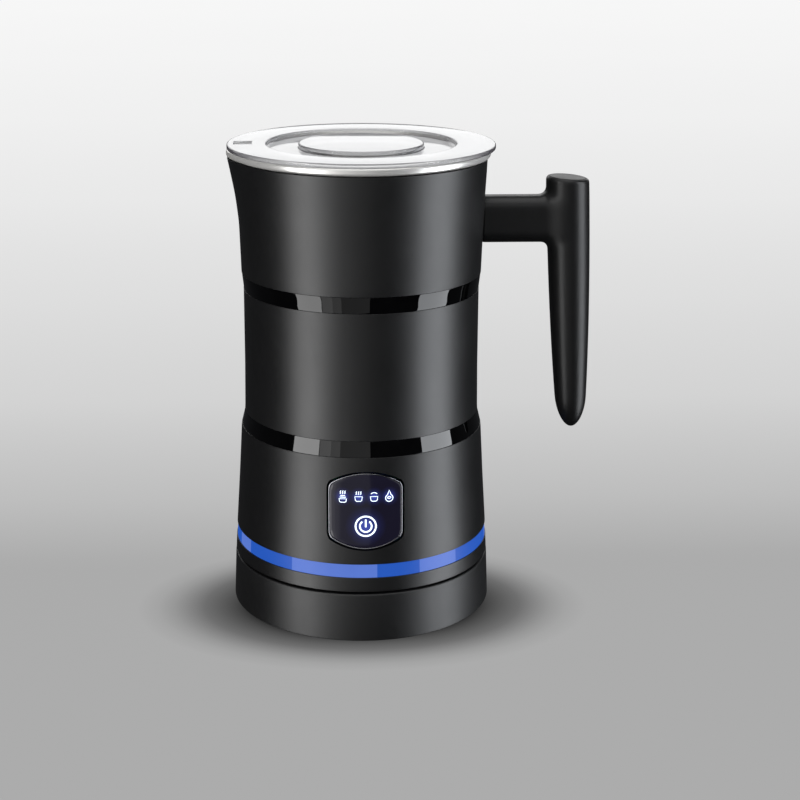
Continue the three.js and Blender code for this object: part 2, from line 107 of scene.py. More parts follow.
def pick(piece: bpy.types.Object) -> None:
    """Make one object the only selected one, and the active one.

    Args:
        piece: The object to select.
    """
    deselect()
    piece.select_set(True)
    bpy.context.view_layer.objects.active = piece


def settle(piece: bpy.types.Object) -> bpy.types.Object:
    """Put an object's place, turn and scale into its mesh.

    Args:
        piece: The object to settle at the origin.

    Returns:
        The same object.
    """
    pick(piece)
    bpy.ops.object.transform_apply(location=True, rotation=True, scale=True)
    return piece


def named(name: str) -> bpy.types.Object:
    """Name the object that an operator has just made.

    Args:
        name: The name for the object and its mesh.

    Returns:
        The object.
    """
    piece = bpy.context.active_object
    piece.name = name
    piece.data.name = name
    return piece


def apply_modifier(piece: bpy.types.Object, kind: str, **settings: object) -> None:
    """Add a modifier and apply it.

    Args:
        piece: The object to change.
        kind: Blender's modifier type, such as BEVEL.
        **settings: The modifier's own settings.
    """
    pick(piece)
    modifier = piece.modifiers.new(kind.lower(), kind)
    for key, value in settings.items():
        setattr(modifier, key, value)
    bpy.ops.object.modifier_apply(modifier=modifier.name)


def carve(piece: bpy.types.Object, tool: bpy.types.Object, operation: str = "DIFFERENCE") -> None:
    """Cut, join or keep a piece by another solid, which is used up.

    Args:
        piece: The object that stays.
        tool: The object that shapes it and is then removed.
        operation: DIFFERENCE, UNION or INTERSECT.
    """
    apply_modifier(piece, "BOOLEAN", object=tool, operation=operation, solver="EXACT")
    bpy.data.objects.remove(tool, do_unlink=True)


def soften(piece: bpy.types.Object, width: float, segments: int = 2, angle: float = 35) -> None:
    """Round the edges that turn by more than an angle.

    Args:
        piece: The object to change.
        width: Width of the rounding in millimetres.
        segments: Faces across the rounding.
        angle: Smallest turn, in degrees, that counts as an edge.
    """
    apply_modifier(
        piece, "BEVEL", width=width * MM, segments=segments, limit_method="ANGLE",
        angle_limit=math.radians(angle), use_clamp_overlap=True,
    )


def smooth(piece: bpy.types.Object, angle: float = 32) -> None:
    """Shade a piece smooth, apart from edges that turn by more than an angle in degrees."""
    pick(piece)
    bpy.ops.object.shade_smooth_by_angle(angle=math.radians(angle))


def traced(name: str, points: Sequence[Vector]) -> bpy.types.Object:
    """Model a chain of edges by extruding one corner from point to point.

    Args:
        name: The new object's name.
        points: The chain's corners; a chain that ends where it starts is closed.

    Returns:
        The new object, in edit mode with everything selected.
    """
    deselect()
    bpy.ops.mesh.primitive_plane_add(size=MM, location=points[0])
    piece = named(name)
    bpy.ops.object.mode_set(mode="EDIT")
    bpy.ops.mesh.select_mode(type="VERT")
    bpy.ops.mesh.merge(type="CENTER")
    for start, end in zip(points, points[1:]):
        bpy.ops.mesh.extrude_vertices_move(TRANSFORM_OT_translate={"value": tuple(end - start)})
    settle(piece)
    bpy.ops.object.mode_set(mode="EDIT")
    bpy.ops.mesh.select_all(action="SELECT")
    bpy.ops.mesh.remove_doubles(threshold=WELD)
    return piece


def filleted(outline: Iterable[tuple[float, ...]], closed: bool = False) -> list[Vector]:
    """Round an outline's corners.

    Args:
        outline: (radius, height) corners, or (radius, height, fillet) for a rounded one.
        closed: Whether the outline's last corner joins its first.

    Returns:
        The outline's points, with a curve of six steps at each rounded corner.
    """
    corners = [(Vector(corner[:2]), corner[2] if len(corner) > 2 else 0) for corner in outline]
    count, steps, points = len(corners), 6, []
    for i, (corner, fillet) in enumerate(corners):
        at_end = not closed and i in (0, count - 1)
        if not fillet or at_end:
            points.append(corner)
            continue
        back = corners[i - 1][0] - corner
        ahead = corners[(i + 1) % count][0] - corner
        half = back.angle(ahead) / 2
        reach = min(fillet / math.tan(half), 0.49 * back.length, 0.49 * ahead.length)
        start, end = corner + back.normalized() * reach, corner + ahead.normalized() * reach
        for step in range(steps + 1):
            t = step / steps
            points.append((1 - t) ** 2 * start + 2 * t * (1 - t) * corner + t**2 * end)
    return points


def spun(
    name: str, outline: Iterable[tuple[float, ...]], steps: int = FINE, ring: bool = False,
    middle: tuple[float, float] = (0, 0),
) -> bpy.types.Object:
    """Model a round piece by spinning an outline once round an upright axis.

    Args:
        name: The new object's name.
        outline: (radius, height) corners in millimetres, with an optional fillet each.
        steps: Faces round the piece.
        ring: Whether the outline closes on itself, clear of the axis.
        middle: Where the spin axis stands, in millimetres from the jug's axis.

    Returns:
        The new object, in object mode.
    """
    points = [at(middle[0] + p.x, middle[1], p.y) for p in filleted(outline, ring)]
    piece = traced(name, [*points, points[0]] if ring else points)
    centre = at(middle[0], middle[1], 0)
    bpy.ops.mesh.spin(steps=steps, angle=math.tau, center=centre, axis=(0, 0, 1))
    bpy.ops.mesh.select_all(action="SELECT")
    bpy.ops.mesh.remove_doubles(threshold=WELD)
    bpy.ops.mesh.normals_make_consistent(inside=False)
    bpy.ops.object.mode_set(mode="OBJECT")
    return piece


def block(name: str, size: Sequence[float], centre: Vector) -> bpy.types.Object:
    """Add a box, as a tool or a start.

    Args:
        name: The new object's name.
        size: Its size along X, Y and Z, in millimetres.
        centre: Its middle, in metres.

    Returns:
        The box.
    """
    deselect()
    bpy.ops.mesh.primitive_cube_add(size=1, location=centre, scale=[s * MM for s in size])
    return settle(named(name))


def cylinder(
    name: str, radius: float, length: float, centre: Vector, turn: Sequence[float] = (0, 0, 0),
) -> bpy.types.Object:
    """Add a cylinder, as a tool or a start.

    Args:
        name: The new object's name.
        radius: Its radius in millimetres.
        length: Its length in millimetres.
        centre: Its middle, in metres.
        turn: Its turn round X, Y and Z, in degrees.

    Returns:
        The cylinder.
    """
    deselect()
    bpy.ops.mesh.primitive_cylinder_add(
        vertices=SMALL, radius=radius * MM, depth=length * MM, location=centre,
        rotation=[math.radians(t) for t in turn],
    )
    return settle(named(name))


def merged(name: str, pieces: Sequence[bpy.types.Object]) -> bpy.types.Object:
    """Join several objects into the first one.

    Args:
        name: The joined object's name.
        pieces: The objects to join.

    Returns:
        The joined object.
    """
    pick(pieces[0])
    for piece in pieces:
        piece.select_set(True)
    bpy.ops.object.join()
    return named(name)


def copied(piece: bpy.types.Object, name: str, move: Vector) -> bpy.types.Object:
    """Copy a piece with a mesh of its own.

    Args:
        piece: The piece to copy.
        name: The copy's name.
        move: How far the copy stands from the piece, in metres.

    Returns:
        The copy, with its place in its mesh.
    """
    twin = piece.copy()
    twin.data = piece.data.copy()
    twin.name = twin.data.name = name
    bpy.context.scene.collection.objects.link(twin)
    twin.location = move
    return settle(twin)


def reshape(piece: bpy.types.Object, rule: Callable[[Vector], Vector]) -> None:
    """Move every corner of a piece by a rule on its place in millimetres from the axis.

    Args:
        piece: The object to change.
        rule: Takes a corner's place and gives its new place, both in millimetres.
    """
    for vertex in piece.data.vertices:
        x, y, z = vertex.co
        new = rule(Vector(((x - AXIS_X) / MM, y / MM, z / MM)))
        vertex.co = at(*new)
    piece.data.update()


# --------------------------------------------------------------------------- shader trees


class Wire:
    """A shader socket that takes part in Python expressions."""

    def __init__(self, shader: "Shader", socket: bpy.types.NodeSocket) -> None:
        """Keep the socket and the shader it belongs to."""
        self.shader = shader
        self.socket = socket

    def __add__(self, other: "Wire | float") -> "Wire":
        """Return the sum."""
        return self.shader.number("ADD", self, other)

    def __radd__(self, other: float) -> "Wire":
        """Return the sum."""
        return self.shader.number("ADD", other, self)

    def __sub__(self, other: "Wire | float") -> "Wire":
        """Return the difference."""
        return self.shader.number("SUBTRACT", self, other)

    def __rsub__(self, other: float) -> "Wire":
        """Return a number less this."""
        return self.shader.number("SUBTRACT", other, self)

    def __mul__(self, other: "Wire | float") -> "Wire":
        """Return the product."""
        return self.shader.number("MULTIPLY", self, other)

    def __rmul__(self, other: float) -> "Wire":
        """Return the product."""
        return self.shader.number("MULTIPLY", other, self)

    def __truediv__(self, other: "Wire | float") -> "Wire":
        """Return the quotient."""
        return self.shader.number("DIVIDE", self, other)

    def __gt__(self, other: "Wire | float") -> "Wire":
        """Return 1 where this is the greater, else 0."""
        return self.shader.number("GREATER_THAN", self, other)

    def __lt__(self, other: "Wire | float") -> "Wire":
        """Return 1 where this is the smaller, else 0."""
        return self.shader.number("LESS_THAN", self, other)


Value = Wire | float | Sequence[float]


class Shader:
    """A material whose node tree is written as Python expressions."""

    def __init__(self, name: str) -> None:
        """Start an empty material, named after its finish.

        Args:
            name: The finish's name.
        """
        self.material = bpy.data.materials.new(f"{name}_finish")
        self.material.use_nodes = True
        self.tree = self.material.node_tree
        self.tree.nodes.clear()

    def node(
        self, kind: str, settings: dict[str, object], sockets: dict[str | int, Value],
        output: str | int = 0,
    ) -> Wire | None:
        """Add any node.

        Args:
            kind: Blender's node type.
            settings: The node's own properties, set first; stops fills a colour ramp.
            sockets: A value or wire for each input that is used.
            output: The output to return.

        Returns:
            The chosen output, or nothing for a node without outputs.
        """
        made = self.tree.nodes.new(kind)
        for key, value in settings.items():
            if key == "stops":
                self._fill_ramp(made.color_ramp, value)
            else:
                setattr(made, key, value)
        for key, value in sockets.items():
            if isinstance(value, Wire):
                self.tree.links.new(value.socket, made.inputs[key])
            else:
                made.inputs[key].default_value = value
        return Wire(self, made.outputs[output]) if made.outputs else None

    @staticmethod
    def _fill_ramp(ramp: bpy.types.ColorRamp, stops: Sequence[tuple[float, float]]) -> None:
        """Set a grey ramp's stops.

        Args:
            ramp: The colour ramp of the node.
            stops: (position, brightness) pairs, in order.
        """
        while len(ramp.elements) < len(stops):
            ramp.elements.new(0.5)
        for element, (position, grey) in zip(ramp.elements, stops):
            element.position = position
            element.color = (grey, grey, grey, 1)

    def number(self, operation: str, first: Value, second: Value = 0.0) -> Wire:
        """Return a Math node's result."""
        return self.node("ShaderNodeMath", {"operation": operation}, {0: first, 1: second})

    def place(self) -> Wire:
        """Return Object coordinates."""
        return self.node("ShaderNodeTexCoord", {}, {}, "Object")

    def split(self, vector: Wire) -> list[Wire]:
        """Return a vector's three numbers."""
        first = self.node("ShaderNodeSeparateXYZ", {}, {0: vector})
        return [Wire(self, output) for output in first.socket.node.outputs]

    def parts(self) -> tuple[Wire, Wire, Wire]:
        """Return x from the jug's axis, y, and z, in metres."""
        x, y, z = self.split(self.place())
        return x - AXIS_X, y, z

    def vector(self, x: Value, y: Value, z: Value) -> Wire:
        """Return a vector made of three numbers."""
        return self.node("ShaderNodeCombineXYZ", {}, {0: x, 1: y, 2: z})

    def noise(self, place: Wire, scale: float, detail: float = 2, rough: float = 0.5) -> Wire:
        """Return smooth noise with about `scale` lumps in a metre."""
        sockets = {"Vector": place, "Scale": scale, "Detail": detail, "Roughness": rough}
        return self.node("ShaderNodeTexNoise", {}, sockets)

    def ramp(self, value: Wire, *stops: tuple[float, float]) -> Wire:
        """Return a grey ramp of a value."""
        return self.node("ShaderNodeValToRGB", {"stops": stops}, {0: value})

    def mix(self, factor: Value, first: Value, second: Value) -> Wire:
        """Return a blend of two colours."""
        sockets = {"Factor": factor, 6: first, 7: second}
        return self.node("ShaderNodeMix", {"data_type": "RGBA"}, sockets, 2)

    def bump(self, height: Wire, depth: float) -> Wire:
        """Return a normal bent by a height; depth is in metres."""
        sockets = {"Height": height, "Distance": depth, "Strength": 1.0}
        return self.node("ShaderNodeBump", {}, sockets)

    def surface(self, sockets: dict[str | int, Value]) -> bpy.types.Material:
        """Finish the material with a Principled surface.

        Args:
            sockets: The Principled node's inputs.

        Returns:
            The material.
        """
        shader = self.node("ShaderNodeBsdfPrincipled", {}, sockets)
        self.node("ShaderNodeOutputMaterial", {}, {0: shader})
        return self.material


def rgb(red: float, green: float, blue: float) -> tuple[float, float, float, float]:
    """Return an opaque linear colour."""
    return (red, green, blue, 1.0)


# --------------------------------------------------------------------------- finishes


@dataclass(frozen=True)
class Grained:
    """A coating or moulded plastic with a fine even grain and faint handling marks."""

    name: str
    colour: tuple[float, float, float]
    roughness: float
    grain: float = 0.35  # size of the grain, in millimetres
    depth: float = 0.006  # depth of the grain, in millimetres
    smudge: float = 0.05  # how much handling changes the roughness
    specular: float = 0.5
    metallic: float = 0.0

    def material(self) -> bpy.types.Material:
        """Build the finish.

        Returns:
            The material.
        """
        shader = Shader(self.name)
        place = shader.place()
        grain = shader.noise(place, 1 / (self.grain * MM), 3, 0.6)
        wipes = shader.noise(place, 45, 4, 0.65)
        speck = shader.noise(place, 420, 2)
        dark = rgb(*(c * 0.82 for c in self.colour))
        light = rgb(*(c * 1.22 for c in self.colour))
        rough = wipes * (2 * self.smudge) + speck * self.smudge + (
            self.roughness - 1.5 * self.smudge)
        return shader.surface({
            "Base Color": shader.mix(speck, dark, light),
            "Roughness": rough,
            "Metallic": self.metallic,
            "Specular IOR Level": self.specular,
            "Normal": shader.bump(grain, self.depth * MM),
        })


@dataclass(frozen=True)
class Halo:
    """A soft glow in the panel's lens round one lit symbol."""

    x: float  # millimetres from the panel's middle
    z: float  # millimetres from the jug's feet
    reach: float  # millimetres to where the glow has gone


@dataclass(frozen=True)
class Polished:
    """A mirror-gloss plastic with faint fingerprints and a trace of moulding ripple."""

    name: str
    colour: tuple[float, float, float]
    roughness: float = 0.012
    ripple: float = 0.0004
    specular: float = 0.5
    halos: tuple[Halo, ...] = ()
    glow: tuple[float, float, float] = (0.045, 0.065, 0.36)
    # tint: a faint glow painted over the whole lens
    tint: tuple[float, float, float] = (0.007, 0.006, 0.014)

    def material(self) -> bpy.types.Material:
        """Build the finish, with soft halos where symbols are lit.

        Returns:
            The material.
        """
        shader = Shader(self.name)
        place = shader.place()
        prints = shader.ramp(shader.noise(place, 110, 5, 0.7), (0.45, 0.0), (0.75, 1.0))
        ripple = shader.noise(place, 260, 1)
        sockets: dict[str | int, Value] = {
            "Base Color": shader.mix(prints, rgb(*self.colour), rgb(
                *(c * 1.3 + 0.0006 for c in self.colour))),
            "Roughness": prints * 0.03 + self.roughness,
            "Specular IOR Level": self.specular,
            "Normal": shader.bump(ripple, self.ripple * MM),
        }
        if self.halos:
            x, _, z = shader.parts()
            lit: Wire | float = 0.0
            for halo in self.halos:
                side = (x - halo.x * MM) / (halo.reach * MM)
                up = (z - halo.z * MM) / (halo.reach * MM)
                away = shader.number("SQRT", side * side + up * up)
                stops = ((0.2, 1.0), (0.45, 0.3), (0.7, 0.07), (1.0, 0.0))
                lit = shader.ramp(away, *stops) + lit
            # The lens has a faint painted glow all over, brighter round the lit symbols.
            sockets["Emission Color"] = shader.mix(lit, rgb(*self.tint), rgb(*self.glow))
            sockets["Emission Strength"] = 1.0
        return shader.surface(sockets)


@dataclass(frozen=True)
class TurnedMetal:
    """A bare metal with fine marks that run round the jug's axis."""

    name: str
    colour: tuple[float, float, float]
    roughness: float
    marks: float = 0.003  # depth of the marks, in millimetres
    pitch: float = 0.25  # spacing of the marks, in millimetres
    metallic: float = 1.0

    def material(self) -> bpy.types.Material:
        """Build the finish.

        Returns:
            The material.
        """
        shader = Shader(self.name)
        x, y, z = shader.parts()
        reach = shader.number("SQRT", x * x + y * y)
        angle = shader.number("ARCTAN2", y, x)
        round_place = shader.vector(reach, angle * (4 * MM), z)
        lines = shader.noise(round_place, 1 / (self.pitch * MM), 4, 0.7)
        cloud = shader.noise(shader.place(), 60, 3)
        dark = rgb(*(c * 0.86 for c in self.colour))
        return shader.surface({
            "Base Color": shader.mix(cloud, dark, rgb(*self.colour)),
            "Metallic": self.metallic,
            "Roughness": lines * 0.1 + cloud * 0.06 + (self.roughness - 0.08),
            "Normal": shader.bump(lines, self.marks * MM),
        })


@dataclass(frozen=True)
class ClearPlastic:
    """A clear polished plastic with painted shade: its walls a little greyer than its flats, its
    folds dark.
    """

    name: str = "clear_plastic"
    colour: tuple[float, float, float] = (0.55, 0.55, 0.555)
    # colour of the shade painted along the folds
    painted_fold_shade: tuple[float, float, float] = (0.03, 0.025, 0.035)
    knob_zone: float = 30  # millimetres from the axis to where the knob's painted fold shade ends
    rim_zone: float = 50  # millimetres from the axis to where the rim's painted fold shade begins
    clearness: float = 0.1  # opacity of a face seen square on

    def material(self) -> bpy.types.Material:
        """Build the finish.

        Returns:
            The material.
        """
        shader = Shader(self.name)
        place = shader.place()
        x, y, z = shader.parts()
        normal = shader.split(shader.node("ShaderNodeTexCoord", {}, {}, "Normal"))
        level = shader.number("ABSOLUTE", normal[2])
        # Painted fold shade: darkest on rounded edges, faint on walls, none on flats.
        painted_fold_shade = shader.ramp(level, (0.0, 0.08), (0.1, 0.25), (0.3, 1.0), (0.9, 1.0), (0.985, 0.0))
        reach = shader.number("SQRT", x * x + y * y)
        side = shader.number("ABSOLUTE", x) / reach
        # The painted fold shade shows on the knob at its left and right, on the dish at the back,
        # and on the rim in front.
        inner, outer = self.knob_zone * MM, self.rim_zone * MM
        knob = (reach < inner) * shader.ramp(side, (0.4, 0.15), (0.6, 1.0))
        dish = (reach > inner) * (reach < outer) * shader.ramp(
            y / (40 * MM), (0.0, 0.25), (0.3, 0.75))
        rim = (reach > outer) * (y < 20 * MM) * shader.ramp(side, (0.5, 0.5), (0.8, 1.0))
        strength = knob + dish + rim
        # Painted shade: the rim's edge darkens towards its left and right ends.
        ends = (reach > 54 * MM) * (level < 0.93) * shader.ramp(side, (0.66, 0.0), (0.84, 0.93))
        facing = shader.node("ShaderNodeLayerWeight", {}, {"Blend": 0.5}, 1)
        flow = shader.noise(place, 70, 4, 0.6)
        scratch = shader.ramp(
            shader.noise(shader.vector(x * 9, y, z), 260, 3, 0.8), (0.62, 0.0), (0.7, 1.0))
        clean = shader.mix(flow, rgb(*(c * 0.97 for c in self.colour)), rgb(*self.colour))
        return shader.surface({
            "Base Color": shader.mix(painted_fold_shade * strength + ends, clean, rgb(*self.painted_fold_shade)),
            "Roughness": scratch * 0.1 + flow * 0.04 + 0.02,
            "Alpha": shader.ramp(
                facing, (0.0, self.clearness), (0.25, 0.16), (0.5, 0.5), (0.7, 0.86), (1.0, 0.94)),
            "IOR": 1.49,
            "Normal": shader.bump(flow, 0.012 * MM),
        })


@dataclass(frozen=True)
class LightPipe:
    """A translucent blue ring lit from behind, with paler arcs of painted reflection at fixed
    angles.
    """

    name: str = "blue_light"
    deep: tuple[float, float, float] = (0.012, 0.085, 0.46)
    # pale is the colour of the painted reflections
    pale: tuple[float, float, float] = (0.10, 0.185, 0.60)
    # Painted reflections: first and last angle of each, from the panel's middle, towards +X, in
    # degrees.
    painted_reflections: tuple[tuple[float, float], ...] = (
        (-34, 5), (24.5, 45), (-74, -62), (78, 112), (136, 150), (176, 214), (236, 258),
    )

    def material(self) -> bpy.types.Material:
        """Build the finish.

        Returns:
            The material.
        """
        shader = Shader(self.name)
        x, y, z = shader.parts()
        angle = shader.number("ARCTAN2", x, y * -1) * (180 / math.pi)
        turned = angle + (angle < -90) * 360
        # Painted reflections: the glow turns pale blue over fixed arcs of the ring.
        pale: Wire | float = 0.0
        for first, last in self.painted_reflections:
            pale = (turned > first) * (turned < last) + pale
        cloud = shader.noise(shader.place(), 90, 3)
        glow = shader.mix(pale * (cloud * 0.25 + 0.85), rgb(*self.deep), rgb(*self.pale))
        return shader.surface({
            "Base Color": shader.mix(cloud, rgb(0.004, 0.012, 0.06), rgb(0.006, 0.02, 0.09)),
            "Roughness": cloud * 0.1 + 0.4,
            "Specular IOR Level": 0.25,
            "Emission Color": glow,
            "Emission Strength": 0.92,
        })


@dataclass(frozen=True)
class Lamp:
    """A symbol lit from behind the panel."""

    name: str
    colour: tuple[float, float, float]
    strength: float

    def material(self) -> bpy.types.Material:
        """Build the finish.

        Returns:
            The material.
        """
        shader = Shader(self.name)
        flicker = shader.noise(shader.place(), 900, 2)
        dim = rgb(*(c * 0.86 for c in self.colour))
        return shader.surface({
            "Base Color": rgb(0.6, 0.65, 0.7),
            "Roughness": flicker * 0.1 + 0.3,
            "Emission Color": shader.mix(flicker, dim, rgb(*self.colour)),
            "Emission Strength": self.strength,
        })


@dataclass(frozen=True)
class CircuitBoard:
    """A green lacquered board with a grid of copper tracks under the lacquer."""

    name: str = "circuit_board"

    def material(self) -> bpy.types.Material:
        """Build the finish.

        Returns:
            The material.
        """
        shader = Shader(self.name)
        place = shader.place()
        blocks = shader.node(
            "ShaderNodeTexVoronoi", {"distance": "CHEBYCHEV", "feature": "DISTANCE_TO_EDGE"},
            {"Vector": place, "Scale": 260}, 0)
        tracks = blocks < 0.09
        grime = shader.noise(place, 300, 3)
        return shader.surface({
            "Base Color": shader.mix(tracks, rgb(0.012, 0.09, 0.03), rgb(0.03, 0.2, 0.07)),
            "Roughness": grime * 0.2 + 0.3,
            "Normal": shader.bump(tracks + grime * 0.1, 0.03 * MM),
        })


MADE: dict[str, bpy.types.Material] = {}  # the finishes' materials, by slot


class Finish(Enum):
    """The finishes of the frother, by the record's material slots."""

    SATIN_BLACK = Grained("satin_black", (0.0026, 0.0026, 0.0028), 0.4, depth=0.0035)
    MATTE_BLACK = Grained("matte_black", (0.0055, 0.0055, 0.0057), 0.38, 0.5, 0.006, 0.06, 0.28)
    GLOSS_BLACK = Polished("gloss_black", (0.0004, 0.0004, 0.0005))
    CLEAR_PLASTIC = ClearPlastic()
    SEAL_SILICONE = Grained("seal_silicone", (0.62, 0.63, 0.63), 0.55, 0.8, 0.01)
    BRIGHT_STEEL = TurnedMetal("bright_steel", (0.74, 0.745, 0.76), 0.2)
    BLUE_LIGHT = LightPipe()
    FOOT_RUBBER = Grained("foot_rubber", (0.008, 0.008, 0.008), 0.78, 0.6, 0.02, 0.08)
    CONTACT_BRASS = TurnedMetal("contact_brass", (0.62, 0.42, 0.15), 0.28)
    ALUMINIUM = TurnedMetal("aluminium", (0.55, 0.56, 0.58), 0.36, 0.006)
    CIRCUIT_BOARD = CircuitBoard()
    WHITE_PLASTIC = Grained("white_plastic", (0.74, 0.72, 0.67), 0.45, 0.7, 0.01)

    @property
    def slot(self) -> str:
        """Return the record's name for the finish."""
        return self.value.name

    def material(self) -> bpy.types.Material:
        """Make this finish's one material when it is first asked for.

        Returns:
            The material.
        """
        if self.slot not in MADE:
            MADE[self.slot] = self.value.material()
        return MADE[self.slot]


def fit(
    piece: bpy.types.Object, body: str, finish: Finish, nodes: Sequence[str] = (),
    angle: float = 32, material: bpy.types.Material | None = None,
) -> bpy.types.Object:
    """Finish a piece: shade it, dress it, and say what it rides on and replaces.

    Args:
        piece: The finished shape.
        body: The moving body that carries it.
        finish: The record's finish that it takes.
        nodes: CAD nodes that it stands for.
        angle: Edges that turn by more than this, in degrees, stay sharp.
        material: A material of its own, where the finish's plain one isn't enough.

    Returns:
        The piece.
    """
    settle(piece)
    smooth(piece, angle)
    piece.data.materials.clear()
    piece.data.materials.append(material or finish.material())
    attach(piece, body)
    if nodes:
        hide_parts(*nodes)
    log.info("%s: %d faces on %s", piece.name, len(piece.data.polygons), body)
    return piece


# --------------------------------------------------------------------------- the contour


@dataclass(frozen=True)
class Contour:
    """The jug's outer contour without its spout, and the spout's swelling."""

    knots: tuple[tuple[float, float], ...] = (
        (22.6, 54.9), (35.3, 54.2), (57.5, 52.7), (79.6, 51.4), (86.1, 49.8), (106, 49.5),
        (138.9, 49.4), (145.7, 50.2), (163, 50.7), (172, 51.1), (179, 51.3), (186, 51.7),
        (193.5, 52),
    )
    easing: float = 1.2  # corners of the contour are eased over this height each way
    spout_start: float = 166
    spout_top: float = 193.5
    spout_half_angle: float = 30

    def straight(self, z: float) -> float:
        """Return the contour's radius before its corners are eased.

        Args:
            z: The height.

        Returns:
            The radius between the two nearest knots.
        """
        if z <= self.knots[0][0]:
            return self.knots[0][1]
        for (z0, r0), (z1, r1) in zip(self.knots, self.knots[1:]):
            if z <= z1:
                return r0 + (r1 - r0) * (z - z0) / (z1 - z0)
        return self.knots[-1][1]

    def radius(self, z: float) -> float:
        """Return the contour's radius.

        Args:
            z: The height.

        Returns:
            The radius, with the contour's corners eased.
        """
        samples = 5
        shifts = [self.easing * (2 * i / (samples - 1) - 1) for i in range(samples)]
        return sum(self.straight(z + shift) for shift in shifts) / samples

    def wall(
        self, bottom: float, top: float, thickness: float, inset: float = 0, edge: float = 0.14,
    ) -> list[tuple[float, ...]]:
        """Outline a wall that follows the contour.

        Args:
            bottom: Height of its lower edge.
            top: Height of its upper edge.
            thickness: Its thickness.
            inset: How far its outer side lies under the contour.
            edge: Rounding of its outer edges.

        Returns:
            A closed outline.
        """
        rows = max(2, round((top - bottom) / 1.6))
        levels = [bottom + (top - bottom) * i / rows for i in range(rows + 1)]
        outer = [(self.radius(z) - inset, z) for z in levels]
        outer[0] += (edge,)
        outer[-1] += (edge,)
        inner = [(self.radius(z) - inset - thickness, z) for z in (top, bottom)]
        return [*outer, *inner]

    def spout(self, reach: float) -> Callable[[Vector], Vector]:
        """Return a rule that swells a shell into the pouring spout.

        Args:
            reach: How far the lip stands out at the rim.

        Returns:
            The rule, for reshape.
        """
        def swell(place: Vector) -> Vector:
            """Move one corner outwards.

            Args:
                place: The corner.

            Returns:
                Its new place.
            """
            angle = math.degrees(abs(math.atan2(place.y, -place.x)))
            if place.z <= self.spout_start or angle >= self.spout_half_angle:
                return place
            rise = (place.z - self.spout_start) / (self.spout_top - self.spout_start)
            share = math.cos(math.radians(90 * angle / self.spout_half_angle)) ** 2
            radius = math.hypot(place.x, place.y)
            grow = 1 + reach * min(rise, 1) ** 1.5 * share / radius
            return Vector((place.x * grow, place.y * grow, place.z))
        return swell


CONTOUR = Contour()


# --------------------------------------------------------------------------- sub-assemblies


